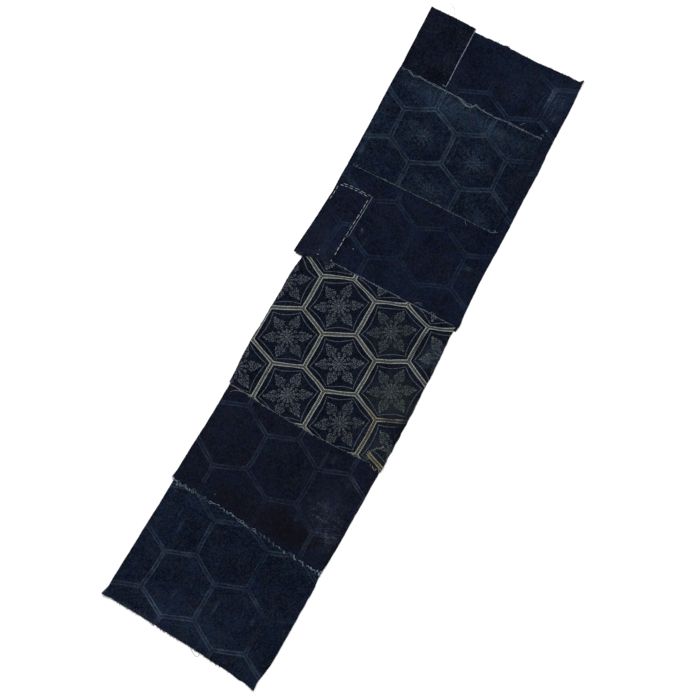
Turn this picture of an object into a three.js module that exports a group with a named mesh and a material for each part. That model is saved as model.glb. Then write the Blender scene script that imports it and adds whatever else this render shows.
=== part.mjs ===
// A pieced length of indigo cotton lying flat: seven cut cloths, lapped and sewn by hand into one
// loom-width panel. Millimetres. X runs across the cloth, Y up its length and Z up from the table.
import * as THREE from 'three';

// Thickness and layers
const SHEET = 1.2; // one cloth
const GAP = 0.3; // air between two cloths that lie on each other
const LAYER = SHEET + GAP; // how far one cloth beneath lifts the cloth above it

// Laps: an edge lies over its neighbour, stays lifted a little past it, then comes down to the table
const TUCK = 14; // how far the hidden seam allowance reaches in under the lapped edge
const LAND = 18; // how far the lapped cloth stays level, measured from its own edge
const DOWN = LAND + 12; // where it is down again

// Edges that two cloths share: height up the panel at the left and the right end, and the rise
// of the middle above the straight line between them
const WHIPPED = { left: 276.5, right: 254.5, bow: 3.5 }; // lower edge of lower_cloth, over end_cloth
const FRAYED = { left: 483.5, right: 482, bow: -8 }; // lower edge of patterned_cloth, over lower_cloth
const LAPPED = { left: 773, right: 780, bow: -0.5 }; // upper edge of patterned_cloth, over long_cloth
const FADED_TOP = { left: 1157, right: 1165.5, bow: -2 }; // upper edge of faded_patch
const CORNER_SIDE = -72; // right-hand side of corner_patch

// How uneven a raw edge is, as a wobble along it
const ROUGH = 1.3;
const WOBBLE = [
  { turns: 2.5, share: 0.6, phase: 0.4 },
  { turns: 6.5, share: 0.4, phase: 1.9 },
];

const COLUMNS = 14; // strips across a cloth of full width
const FULL_WIDTH = 330;

// A row of each table is a section across the cloth, from its lower edge to its upper edge: where
// its left and right ends lie, its bow, and how many cloths lie beneath it.
const SECTION = ['leftX', 'leftY', 'rightX', 'rightY', 'bow', 'level'];

const END_CLOTH = [
  [-174.6, 21.8, 163.4, 0, 4.2, 0],
  [-169.7, 41, 162.8, 17, 4, 0],
  [-169.1, 62, 166.3, 38, 3, 0],
  [-167.8, 90, 169.5, 75, 2, 0],
  [-165.1, 139, 169.9, 125, 2, 0],
  [-162.8, 189, 170, 176, 4, 0],
  [-160.9, 228, 170.7, 214, 6, 0],
  [-159.4, WHIPPED.left - 6, 168.4, WHIPPED.right - 6, WHIPPED.bow, 0],
  [-158.6, WHIPPED.left + TUCK, 168, WHIPPED.right + TUCK, WHIPPED.bow, 0],
];

const LOWER_CLOTH = [
  [-165, WHIPPED.left, 168.2, WHIPPED.right, WHIPPED.bow, 1],
  [-162.4, WHIPPED.left + LAND, 169.6, WHIPPED.right + LAND, WHIPPED.bow, 1],
  [-161.8, WHIPPED.left + DOWN, 170.4, WHIPPED.right + DOWN, WHIPPED.bow - 1, 0],
  [-161, 333, 171.1, 308, 4, 0],
  [-158.6, 370, 171.5, 358, 0, 0],
  [-156, 420, 172, 420, -2, 0],
  [-154.5, FRAYED.left - 12, 171.8, FRAYED.right - 8, FRAYED.bow, 0],
  [-154.3, FRAYED.left + TUCK, 171, FRAYED.right + TUCK, FRAYED.bow, 0],
];

const PATTERNED_CLOTH = [
  [-157, FRAYED.left, 173.6, FRAYED.right, FRAYED.bow, 1],
  [-157.6, FRAYED.left + LAND, 173.5, FRAYED.right + LAND, FRAYED.bow, 1],
  [-158, FRAYED.left + DOWN, 173.3, FRAYED.right + DOWN, FRAYED.bow + 1, 0],
  [-159.1, 545, 172.7, 545, -1, 0],
  [-159.2, 578, 172.3, 580, 0, 0],
  [-158.2, 614, 171.4, 615, 0, 0],
  [-157, 646, 170.1, 645, 0, 0],
  [-156, 676, 169.4, 677, 0, 0],
  [-155.7, 708, 167.6, 712, 0, 0],
  [-152.9, LAPPED.left - DOWN, 165.2, LAPPED.right - DOWN, 1, 0],
  [-151.9, LAPPED.left - LAND, 164.4, LAPPED.right - LAND, LAPPED.bow, 1],
  [-151.5, LAPPED.left, 164.4, LAPPED.right, LAPPED.bow, 1],
];

const LONG_CLOTH = [
  [-155.5, LAPPED.left - TUCK, 168.8, LAPPED.right - TUCK + 6, LAPPED.bow - 6.5, 0],
  [-157, 790, 171, 787, 0, 0],
  [-158, 806, 168.7, 802, 0, 0],
  [-159.4, 835, 166.1, 832, 0, 0],
  [-160.8, 880, 164, 880, 0, 0],
  [-161.3, 930, 163.5, 935, 0, 0],
  [-160.2, 990, 162.8, 990, 0, 0],
  [-159.8, 1040, 160.8, 1040, 0, 0],
  [-159.8, 1100, 160.5, 1100, 0, 0],
  [-159.8, 1145, 157.7, 1145, 0, 0],
  [-161, 1190, 156.6, 1190, 0, 0],
  [-162.6, 1235, 155.2, 1245, 0, 0],
  [-163.2, 1275, 152, 1295, 0.5, 0],
];

const FADED_PATCH = [
  [-161.2, 951.5, 144.2, 967.5, 1.5, 1],
  [-161.5, 990, 145.2, 1000, 1, 1],
  [-162.1, 1050, 145, 1054, 0, 1],
  [-162.8, 1100, 143, 1102, 0, 1],
  [-163.6, FADED_TOP.left - DOWN, 141, FADED_TOP.right - DOWN, -1, 1],
  [-163.5, FADED_TOP.left - LAND, 140.2, FADED_TOP.right - LAND, -2, 2],
  [-162.8, FADED_TOP.left, 139, FADED_TOP.right, FADED_TOP.bow, 2],
];

const CORNER_PATCH = [
  [-162, FADED_TOP.left - TUCK, CORNER_SIDE + 2.4, FADED_TOP.left - TUCK + 1, 0, 1],
  [-163.2, 1180, CORNER_SIDE + 2.2, 1180, 0, 1],
  [-164.8, 1235, CORNER_SIDE + 1, 1236, 0, 1],
  [-166, 1283.2, CORNER_SIDE - 0.8, 1287.4, 1.2, 1],
];

const POCKET_PATCH = [
  [-170.7, 758.8, -98.8, 767.6, 0, 2],
  [-169.5, LAPPED.left + 5, -98.4, LAPPED.left + 7, 0, 2],
  [-168.4, LAPPED.left + 17, -97.8, LAPPED.left + 19, 0, 1],
  [-165.2, 826, -95.8, 822, 0, 1],
  [-162.1, 875, -91.6, 868, 0, 1],
  [-158.4, 911, -89.8, 916, 1.5, 1],
];

const mix = (from, to, share) => from + (to - from) * share;

function wobble(share) {
  return WOBBLE.reduce((sum, w) => sum + w.share * Math.sin(2 * Math.PI * w.turns * share + w.phase), 0);
}

// Shares of the width at which the columns of points stand. A step is a ramp across the cloth, which
// gets a column at each side of it.
function columnShares(rows, step) {
  const top = rows[rows.length - 1];
  const width = top.rightX - top.leftX;
  const count = Math.max(4, Math.round((COLUMNS * width) / FULL_WIDTH));
  const even = Array.from({ length: count + 1 }, (_, i) => i / count);
  if (!step) return even;
  const ramp = [step.from, step.to].map((x) => (x - top.leftX) / width);
  const clear = even.filter((share) => ramp.every((r) => Math.abs(r - share) > 0.4 / count));
  return [...clear, ...ramp].sort((a, b) => a - b);
}

// One cut cloth: a closed sheet of even thickness over a grid of points, a row for each section.
// Only its first and last rows, the cut edges, are rough.
function cloth(name, colour, table, { roughEnds = [true, true], step } = {}) {
  const rows = table.map((row) => Object.fromEntries(SECTION.map((key, i) => [key, row[i]])));
  const shares = columnShares(rows, step);
  const across = shares.length;
  const points = [];
  for (const lift of [0, SHEET]) {
    rows.forEach((row, r) => {
      const raw = (r === 0 && roughEnds[0]) || (r === rows.length - 1 && roughEnds[1]);
      for (const share of shares) {
        const x = mix(row.leftX, row.rightX, share);
        const arch = 4 * share * (1 - share);
        const uneven = raw ? ROUGH * wobble(share + 0.37 * r) * Math.min(1, 2 * arch) : 0;
        const y = mix(row.leftY, row.rightY, share) + row.bow * arch + uneven;
        const past = step ? THREE.MathUtils.clamp((x - step.from) / (step.to - step.from), 0, 1) : 0;
        const level = mix(row.level, Math.min(row.level, step ? step.level : row.level), past);
        points.push(x, y, LAYER * level + lift);
      }
    });
  }
  const layer = rows.length * across;
  const faces = [];
  const quad = (a, b, c, d) => faces.push(a, b, c, a, c, d);
  for (let r = 0; r + 1 < rows.length; r += 1) {
    for (let c = 0; c + 1 < across; c += 1) {
      const p = r * across + c;
      quad(p, p + across, p + across + 1, p + 1);
      quad(p + layer, p + layer + 1, p + layer + across + 1, p + layer + across);
    }
  }
  const rim = [];
  for (let c = 0; c < across; c += 1) rim.push(c);
  for (let r = 1; r < rows.length; r += 1) rim.push(r * across + across - 1);
  for (let c = across - 2; c >= 0; c -= 1) rim.push((rows.length - 1) * across + c);
  for (let r = rows.length - 2; r > 0; r -= 1) rim.push(r * across);
  rim.forEach((a, i) => {
    const b = rim[(i + 1) % rim.length];
    quad(a, b, b + layer, a + layer);
  });

  const geometry = new THREE.BufferGeometry();
  geometry.setAttribute('position', new THREE.Float32BufferAttribute(points, 3));
  geometry.setIndex(faces);
  geometry.computeVertexNormals();
  const material = new THREE.MeshStandardMaterial({ color: colour, roughness: 0.95, metalness: 0 });
  const mesh = new THREE.Mesh(geometry, material);
  mesh.name = name;
  return mesh;
}

const panel = new THREE.Group();
panel.add(
  cloth('end_cloth', 0x151b2b, END_CLOTH, { roughEnds: [true, false] }),
  cloth('lower_cloth', 0x141826, LOWER_CLOTH, { roughEnds: [false, false] }),
  cloth('patterned_cloth', 0x29303a, PATTERNED_CLOTH),
  cloth('long_cloth', 0x131a2a, LONG_CLOTH, { roughEnds: [false, true] }),
  cloth('faded_patch', 0x182130, FADED_PATCH, {
    roughEnds: [false, true],
    step: { from: CORNER_SIDE + 7, to: CORNER_SIDE + 19, level: 1 },
  }),
  cloth('corner_patch', 0x111622, CORNER_PATCH, { roughEnds: [false, true] }),
  cloth('pocket_patch', 0x151a2a, POCKET_PATCH, { roughEnds: [true, false] }),
);

// The panel's origin is the centre of its underside.
const centre = new THREE.Box3().setFromObject(panel).getCenter(new THREE.Vector3());
panel.position.set(-centre.x, -centre.y, 0);

export default panel;
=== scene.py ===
import math

import bpy
import numpy as np
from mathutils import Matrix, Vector


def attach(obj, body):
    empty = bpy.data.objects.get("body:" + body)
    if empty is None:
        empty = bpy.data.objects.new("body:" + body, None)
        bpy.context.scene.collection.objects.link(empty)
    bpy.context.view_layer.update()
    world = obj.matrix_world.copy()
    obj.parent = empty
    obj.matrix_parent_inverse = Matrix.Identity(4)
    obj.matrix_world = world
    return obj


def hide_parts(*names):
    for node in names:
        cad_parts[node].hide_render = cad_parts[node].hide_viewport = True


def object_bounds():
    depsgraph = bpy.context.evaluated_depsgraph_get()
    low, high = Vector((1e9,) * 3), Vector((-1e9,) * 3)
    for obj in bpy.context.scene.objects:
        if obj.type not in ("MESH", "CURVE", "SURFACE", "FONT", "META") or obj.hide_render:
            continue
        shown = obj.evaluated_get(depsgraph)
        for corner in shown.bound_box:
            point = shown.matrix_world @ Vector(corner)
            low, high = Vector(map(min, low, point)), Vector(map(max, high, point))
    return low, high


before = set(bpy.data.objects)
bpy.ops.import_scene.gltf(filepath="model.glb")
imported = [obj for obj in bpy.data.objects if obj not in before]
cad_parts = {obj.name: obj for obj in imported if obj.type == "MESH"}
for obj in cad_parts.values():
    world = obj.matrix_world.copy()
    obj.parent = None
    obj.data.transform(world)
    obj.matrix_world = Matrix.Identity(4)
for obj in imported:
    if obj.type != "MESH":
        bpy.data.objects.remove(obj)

# A pieced length of indigo cotton, laid flat: seven cut cloths and a scrap, lapped and sewn by hand,
# resist-dyed with tortoiseshell lattices. Tables and functions below work in millimetres on the
# cloth, X across it and Y up its length from the lower end; row_place() turns them into the frame's
# metres.

for name in ("Cube", "Light", "Camera"):
    spare = bpy.data.objects.get(name)
    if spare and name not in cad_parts:
        bpy.data.objects.remove(spare)

frame_low, frame_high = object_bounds()
MM = 0.001
LEFTMOST = -174.6  # where the frame's low X lies on the cloth's own ruler

# --- The cut cloths -------------------------------------------------------------------------

SHEET = 0.8  # thickness of one cloth
STEP = 1.15  # how far one cloth beneath lifts the cloth above it
GRID = 2.6  # spacing of the points of a cloth's mesh
EASE_FROM, EASE_TO = 1.5, 9.0  # beyond a covered edge the cloth above eases down between these

# Laps: how far a hidden allowance reaches in, and where the cloth above is level and is down again
TUCK, LAND, DOWN = 14, 18, 30
# Edges that two cloths share: height at the left and the right end, and the rise of the middle
WHIPPED = {"left": 276.5, "right": 254.5, "bow": 3.5}
FRAYED = {"left": 483.5, "right": 482, "bow": -8}
LAPPED = {"left": 773, "right": 780, "bow": -0.5}
FADED_TOP = {"left": 1157, "right": 1165.5, "bow": -2}
CORNER_SIDE = -72  # right-hand side of the corner patch

# A row is a section across a cloth, from its lower edge to its upper: where its left and right
# ends lie, and how far its middle stands above the straight line between them.
SECTION = ("left_x", "left_y", "right_x", "right_y", "bow")
OUTLINES = {
    "end_cloth": [
        (-174.6, 21.8, 163.4, 0, 4.2),
        (-169.7, 41, 162.8, 17, 4),
        (-169.1, 62, 166.3, 38, 3),
        (-167.8, 90, 169.5, 75, 2),
        (-165.1, 139, 169.9, 125, 2),
        (-162.8, 189, 170, 176, 4),
        (-160.9, 228, 170.7, 214, 6),
        (-159.4, WHIPPED["left"] - 6, 168.4, WHIPPED["right"] - 6, WHIPPED["bow"]),
        (-158.6, WHIPPED["left"] + TUCK, 168, WHIPPED["right"] + TUCK, WHIPPED["bow"]),
    ],
    "lower_cloth": [
        (-165, WHIPPED["left"], 168.2, WHIPPED["right"], WHIPPED["bow"]),
        (-162.4, WHIPPED["left"] + LAND, 169.6, WHIPPED["right"] + LAND, WHIPPED["bow"]),
        (-161.8, WHIPPED["left"] + DOWN, 170.4, WHIPPED["right"] + DOWN, WHIPPED["bow"] - 1),
        (-161, 333, 171.1, 308, 4),
        (-158.6, 370, 171.5, 358, 0),
        (-156, 420, 172, 420, -2),
        (-154.5, FRAYED["left"] - 12, 171.8, FRAYED["right"] - 8, FRAYED["bow"]),
        (-154.3, FRAYED["left"] + TUCK, 171, FRAYED["right"] + TUCK, FRAYED["bow"]),
    ],
    "long_cloth": [
        (-155.5, LAPPED["left"] - TUCK, 168.8, LAPPED["right"] - TUCK + 6, LAPPED["bow"] - 6.5),
        (-157, 790, 171, 787, 0),
        (-158, 806, 168.7, 802, 0),
        (-159.4, 835, 166.1, 832, 0),
        (-160.8, 880, 164, 880, 0),
        (-161.3, 930, 163.5, 935, 0),
        (-160.2, 990, 162.8, 990, 0),
        (-159.8, 1040, 160.8, 1040, 0),
        (-159.8, 1100, 160.5, 1100, 0),
        (-159.8, 1145, 157.7, 1145, 0),
        (-161, 1190, 156.6, 1190, 0),
        (-162.6, 1235, 155.2, 1245, 0),
        (-163.2, 1275, 152, 1295, 0.5),
    ],
    "patterned_cloth": [
        (-157, FRAYED["left"], 173.6, FRAYED["right"], FRAYED["bow"]),
        (-157.6, FRAYED["left"] + LAND, 173.5, FRAYED["right"] + LAND, FRAYED["bow"]),
        (-158, FRAYED["left"] + DOWN, 173.3, FRAYED["right"] + DOWN, FRAYED["bow"] + 1),
        (-159.1, 545, 172.7, 545, -1),
        (-159.2, 578, 172.3, 580, 0),
        (-158.2, 614, 171.4, 615, 0),
        (-157, 646, 170.1, 645, 0),
        (-156, 676, 169.4, 677, 0),
        (-155.7, 708, 167.6, 712, 0),
        (-152.9, LAPPED["left"] - DOWN, 165.2, LAPPED["right"] - DOWN, 1),
        (-151.9, LAPPED["left"] - LAND, 164.4, LAPPED["right"] - LAND, LAPPED["bow"]),
        (-151.5, LAPPED["left"], 164.4, LAPPED["right"], LAPPED["bow"]),
    ],
    "corner_patch": [
        (-162, FADED_TOP["left"] - TUCK, CORNER_SIDE + 2.4, FADED_TOP["left"] - TUCK + 1, 0),
        (-163.2, 1180, CORNER_SIDE + 2.2, 1180, 0),
        (-164.8, 1235, CORNER_SIDE + 1, 1236, 0),
        (-166, 1283.2, CORNER_SIDE - 0.8, 1287.4, 1.2),
    ],
    "faded_patch": [
        (-161.2, 951.5, 144.2, 967.5, 1.5),
        (-161.5, 990, 145.2, 1000, 1),
        (-162.1, 1050, 145, 1054, 0),
        (-162.8, 1100, 143, 1102, 0),
        (-163.6, FADED_TOP["left"] - DOWN, 141, FADED_TOP["right"] - DOWN, -1),
        (-163.5, FADED_TOP["left"] - LAND, 140.2, FADED_TOP["right"] - LAND, -2),
        (-162.8, FADED_TOP["left"], 139, FADED_TOP["right"], FADED_TOP["bow"]),
    ],
    "pocket_patch": [
        (-170.7, 758.8, -98.8, 767.6, 0),
        (-169.5, LAPPED["left"] + 5, -98.4, LAPPED["left"] + 7, 0),
        (-168.4, LAPPED["left"] + 17, -97.8, LAPPED["left"] + 19, 0),
        (-165.2, 826, -95.8, 822, 0),
        (-162.1, 875, -91.6, 868, 0),
        (-158.4, 911, -89.8, 916, 1.5),
    ],
    "edge_scrap": [
        (148, 477, 172.5, 472, 0),
        (135.5, 486, 173.5, 481, 0),
        (136.8, 494, 173.5, 490, 0),
        (142, 504, 168, 503, 0),
        (152, 514, 163, 517.5, 0),
    ],
}
STACK = list(OUTLINES)  # from the table up

# How ragged each edge is, in mm: lower end, upper end, sides
RAGGED = {
    "end_cloth": (1.0, 0.3, 0.6),
    "lower_cloth": (0.7, 0.5, 0.6),
    "long_cloth": (0.4, 1.0, 0.6),
    "patterned_cloth": (1.1, 0.9, 0.9),
    "corner_patch": (0.4, 0.5, 0.3),
    "faded_patch": (0.5, 1.6, 0.5),
    "pocket_patch": (1.0, 0.4, 0.4),
    "edge_scrap": (0.9, 0.8, 0.9),
}
SLOTS = {
    "end_cloth": "indigo_end",
    "lower_cloth": "indigo_lower",
    "patterned_cloth": "indigo_patterned",
    "long_cloth": "indigo_long",
    "faded_patch": "indigo_faded",
    "corner_patch": "indigo_plain",
    "pocket_patch": "indigo_pocket",
    "edge_scrap": "indigo_scrap",
}

# Dips and bumps of a cut edge: 0 for the lower or -1 for the upper end, x, height, reach
EDGE_MARKS = {
    "faded_patch": ((-1, -133, -3.4, 7), (-1, -18, -6.0, 9), (-1, -3, 2.6, 4.5), (-1, 60, 1.2, 9),
                    (-1, -106, -1.6, 14), (-1, 22, -1.6, 12)),
    "long_cloth": ((-1, -6, 2.2, 4.5), (-1, 150.5, 6.6, 3.0), (-1, 62, -1.8, 16)),
    "corner_patch": ((-1, -165, 1.4, 3),),
    "end_cloth": ((0, 110, 1.6, 26), (0, 141, 1.2, 6), (0, 160, -1.2, 4), (0, -172, -0.8, 5),
                  (0, -30, -0.8, 30)),
    "lower_cloth": ((0, 86, -2.4, 34), (0, -50, 1.4, 30), (0, -150, 1.2, 10)),
    "pocket_patch": ((0, -155, -3.8, 13), (0, -125, 2.6, 15), (0, -100.5, -2.4, 7)),
}


def row_place(x, y, z):
    """Points on the cloth's ruler, in mm, as an array of points in the frame, in metres."""
    x, y, z = np.broadcast_arrays(np.asarray(x, float), y, z)
    return np.stack(
        (frame_low.x + (x - LEFTMOST) * MM, frame_low.y + y * MM, frame_low.z + z * MM), axis=-1
    )


def ease(value, start, end):
    """0 at start, 1 at end, with a smooth passage between."""
    share = np.clip((np.asarray(value, float) - start) / (end - start), 0, 1)
    return share * share * (3 - 2 * share)


def wander(at, spacing, seed):
    """A smooth random line between -1 and 1 that changes over about spacing."""
    rng = np.random.default_rng(seed)
    table = rng.uniform(-1, 1, 512)
    at = np.asarray(at, float) / spacing + 100
    cell = np.floor(at).astype(int)
    share = at - cell
    share = share * share * (3 - 2 * share)
    return table[cell % 512] * (1 - share) + table[(cell + 1) % 512] * share


def along_knots(knots, values, at):
    """Values at points between knots, on a smooth line that never overshoots them."""
    knots, values = np.asarray(knots, float), np.asarray(values, float)
    rise = np.diff(values) / np.diff(knots)
    turn = np.zeros(len(knots))
    same_way = rise[:-1] * rise[1:] > 0
    both = rise[:-1] + rise[1:]
    turn[1:-1][same_way] = 2 * rise[:-1][same_way] * rise[1:][same_way] / both[same_way]
    turn[0], turn[-1] = rise[0], rise[-1]
    i = np.clip(np.searchsorted(knots, at) - 1, 0, len(rise) - 1)
    span = knots[i + 1] - knots[i]
    s = (at - knots[i]) / span
    return (
        values[i] * (1 + 2 * s) * (1 - s) ** 2
        + values[i + 1] * s * s * (3 - 2 * s)
        + span * (turn[i] * s * (1 - s) ** 2 - turn[i + 1] * s * s * (1 - s))
    )


def cloth_grid(rows_table, ragged, marks, seed):
    """X and Y of a cloth's grid of points, a row for each height up the panel."""
    table = np.array(rows_table, float)
    middle = (table[:, 1] + table[:, 3]) / 2
    rows = max(8, round((middle[-1] - middle[0]) / GRID))
    heights = np.linspace(middle[0], middle[-1], rows + 1)
    left_x, left_y, right_x, right_y, bow = (
        along_knots(middle, table[:, c], heights)[:, None] for c in range(len(SECTION))
    )
    columns = max(8, round((right_x - left_x).max() / GRID))
    share = np.linspace(0, 1, columns + 1)[None, :]
    x = left_x + (right_x - left_x) * share
    y = left_y + (right_y - left_y) * share + bow * 4 * share * (1 - share)
    lower, upper, sides = ragged
    from_low, from_high = y - y[0], y[-1] - y
    y = y + lower * (1 - ease(from_low, 0, 9)) * (
        0.6 * wander(x, 11, seed + 1) + 0.4 * wander(x, 3.2, seed + 2)
    )
    y = y + upper * (1 - ease(from_high, 0, 9)) * (
        0.6 * wander(x, 12, seed + 3) + 0.4 * wander(x, 3.4, seed + 4)
    )
    for end, at, rise, reach in marks:
        inward = from_high if end else from_low
        y = y + rise * np.exp(-(((x - at) / reach) ** 2)) * (1 - ease(inward, 0, 14))
    for side, distance in ((5, x - x[:, :1]), (7, x[:, -1:] - x)):
        x = x + sides * (1 - ease(distance, 0, 9)) * (
            0.65 * wander(y, 14, seed + side) + 0.35 * wander(y, 4, seed + side + 1)
        )
    return x, y


GRIDS = {
    name: cloth_grid(OUTLINES[name], RAGGED[name], EDGE_MARKS.get(name, ()), 10 * number)
    for number, name in enumerate(STACK)
}


def round_the_edge(grid):
    """What lies round the outside of a grid, in order."""
    return np.concatenate((grid[0, :-1], grid[:-1, -1], grid[-1, :0:-1], grid[:0:-1, 0]))


def rim_of(name):
    """The closed line of points round a cloth."""
    return round_the_edge(np.stack(GRIDS[name], -1))


def depth_inside(name, x, y):
    """How far points lie inside a cloth's rim, in mm, negative outside it."""
    rim = rim_of(name)[::2]
    nearest = np.full(np.shape(x), 1e9)
    crossings = np.zeros(np.shape(x), int)
    for (ax, ay), (bx, by) in zip(rim, np.roll(rim, -1, axis=0)):
        dx, dy = bx - ax, by - ay
        s = np.clip(((x - ax) * dx + (y - ay) * dy) / (dx * dx + dy * dy), 0, 1)
        nearest = np.minimum(nearest, np.hypot(x - ax - s * dx, y - ay - s * dy))
        if ay != by:
            spans = (ay > y) != (by > y)
            crossings += spans & (x < ax + (y - ay) * dx / dy)
    return np.where(crossings % 2 == 1, nearest, -nearest)


def edge_height(name, end, x):
    """Y of a cloth's lower (0) or upper (-1) edge at x."""
    gx, gy = GRIDS[name]
    return np.interp(x, gx[end], gy[end])


# Seams whose stitches draw the cloth into small puckers: cloth, end, height, spacing
PUCKERS = (
    ("lower_cloth", 0, 0.55, 15),
    ("patterned_cloth", 0, 0.35, 21),
    ("patterned_cloth", -1, 0.35, 19),
    ("faded_patch", 0, 0.30, 17),
    ("faded_patch", -1, 0.45, 16),
    ("pocket_patch", -1, 0.30, 12),
)
# Soft creases left by folding: x and y of each end, height (a trough is negative), width
CREASES = (
    (-100, 241, 120, 236, 0.55, 5),
    (-5, 1098, 92, 1099, 0.4, 4),
    (-150, 150, 165, 138, 0.35, 9),
    (-150, 388, 168, 380, 0.35, 11),
    (-150, 655, 168, 660, 0.3, 12),
    (-150, 872, 160, 878, 0.4, 9),
    (2, 30, 6, 1290, 0.35, 13),
)


def swell(x, y):
    """How far the whole panel stands off the table, in mm: the same for every cloth of a stack."""
    height = (
        0.45
        + 0.22 * np.sin(x / 31 + y / 83 + 0.6)
        + 0.16 * np.sin(x / 19 - y / 47 + 2.1)
        + 0.07 * np.sin(x / 9.5 + y / 13 + 0.4)
    )
    for name, end, rise, spacing in PUCKERS:
        gx = GRIDS[name][0][end]
        away = y - edge_height(name, end, x)
        within = ease(x, gx[0] - 6, gx[0] + 6) * (1 - ease(x, gx[-1] - 6, gx[-1] + 6))
        wave = 0.5 + 0.5 * np.sin(2 * np.pi * x / spacing + 2.2 * wander(x, 40, 71))
        height = height + rise * within * wave * np.exp(-((away / 9) ** 2))
    for ax, ay, bx, by, rise, width in CREASES:
        dx, dy = bx - ax, by - ay
        length = math.hypot(dx, dy)
        s = ((x - ax) * dx + (y - ay) * dy) / length
        off = ((x - ax) * dy - (y - ay) * dx) / length + 1.5 * wander(s, 30, 72)
        within = ease(s, -8, 12) * (1 - ease(s, length - 12, length + 8))
        height = height + rise * within * np.exp(-((off / width) ** 2))
    return height


# Loose corners and edges that curl up off the table: x, y, height, reach
CURLS = {
    "end_cloth": ((-172, 22, 2.2, 16), (162, 1, 1.6, 14), (161, 17, 1.0, 7)),
    "lower_cloth": ((-164, 279, 1.4, 9),),
    "long_cloth": ((149, 1293, 1.8, 12), (-6, 1286, 1.6, 5), (170, 786, 1.2, 9)),
    "patterned_cloth": ((-155, 486, 1.2, 10), (173, 478, 1.4, 10)),
    "corner_patch": ((-163, 1280, 1.2, 9),),
    "faded_patch": ((-12, 1161, 1.0, 12), (-132, 1154, 0.8, 9), (138, 1166, 0.9, 8)),
    "pocket_patch": ((-169, 761, 1.4, 12), (-99, 770, 0.8, 8)),
    "edge_scrap": ((136, 489, 0.8, 6),),
}


def curl(name, x, y):
    """How far a cloth's loose corners and edges lift it."""
    lifts = (
        rise * np.exp(-((x - cx) ** 2 + (y - cy) ** 2) / reach**2)
        for cx, cy, rise, reach in CURLS[name]
    )
    return sum(lifts)


def covered(name, x, y):
    """1 where a cloth lies, easing to 0 beyond its rim."""
    rim = rim_of(name)
    near = (
        (x > rim[:, 0].min() - EASE_TO) & (x < rim[:, 0].max() + EASE_TO)
        & (y > rim[:, 1].min() - EASE_TO) & (y < rim[:, 1].max() + EASE_TO)
    )
    result = np.zeros(np.shape(x))
    if near.any():
        inside = depth_inside(name, x[near], y[near])
        result[near] = ease(inside, -EASE_TO, -EASE_FROM)
    return result


def cloth_top(name, x, y):
    """Height of a cloth's upper face."""
    x, y = np.asarray(x, float), np.asarray(y, float)
    height = swell(x, y) + SHEET
    for beneath in STACK[: STACK.index(name)]:
        height = height + STEP * covered(beneath, x, y)
    return height + curl(name, x, y)


def heights_of_all(x, y):
    """Height of whatever lies uppermost, down to the table beyond the panel."""
    covers = {name: covered(name, x, y) for name in STACK}
    layers = sum(covers.values())
    once = np.minimum(1, layers)
    height = swell(x, y) * once + STEP * layers - (STEP - SHEET) * once
    for name, here in covers.items():
        height = height + here * curl(name, x, y)
    return height


# The same heights on an even grid, from which yarns and stitches read theirs
MAP_STEP = 1.5
MAP_X = np.arange(-200, 202, MAP_STEP)
MAP_Y = np.arange(-30, 1330, MAP_STEP)
HEIGHT_MAP = heights_of_all(*np.meshgrid(MAP_X, MAP_Y))


def top_of_all(x, y):
    """Height of whatever lies uppermost at points on the cloth."""
    across = np.clip((np.asarray(x, float) - MAP_X[0]) / MAP_STEP, 0, len(MAP_X) - 1.001)
    up = np.clip((np.asarray(y, float) - MAP_Y[0]) / MAP_STEP, 0, len(MAP_Y) - 1.001)
    column, row = across.astype(int), up.astype(int)
    across, up = across - column, up - row
    lower = HEIGHT_MAP[row, column] * (1 - across) + HEIGHT_MAP[row, column + 1] * across
    upper = HEIGHT_MAP[row + 1, column] * (1 - across) + HEIGHT_MAP[row + 1, column + 1] * across
    return lower * (1 - up) + upper * up


def as_object(name, points, faces, material, flat_faces=None, uv=None, rim=None):
    """A mesh object in the frame from points in mm and faces, shaded smooth apart from flat_faces.
    uv is a place along and round a strand for each corner, and rim is how near its cloth's rim
    each point lies, from 0 to 1."""
    mesh = bpy.data.meshes.new(name)
    mesh.from_pydata(row_place(points[:, 0], points[:, 1], points[:, 2]).tolist(), [], faces)
    smooth = np.ones(len(faces), bool)
    if flat_faces is not None:
        smooth[flat_faces] = False
    mesh.polygons.foreach_set("use_smooth", smooth)
    if uv is not None:
        layer = mesh.uv_layers.new(name="strand")
        layer.data.foreach_set("uv", np.asarray(uv, float).ravel())
    if rim is not None:
        mesh.attributes.new("rim", "FLOAT", "POINT").data.foreach_set("value", rim)
    mesh.materials.append(material)
    mesh.update()
    piece = bpy.data.objects.new(name, mesh)
    bpy.context.collection.objects.link(piece)
    return piece


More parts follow.
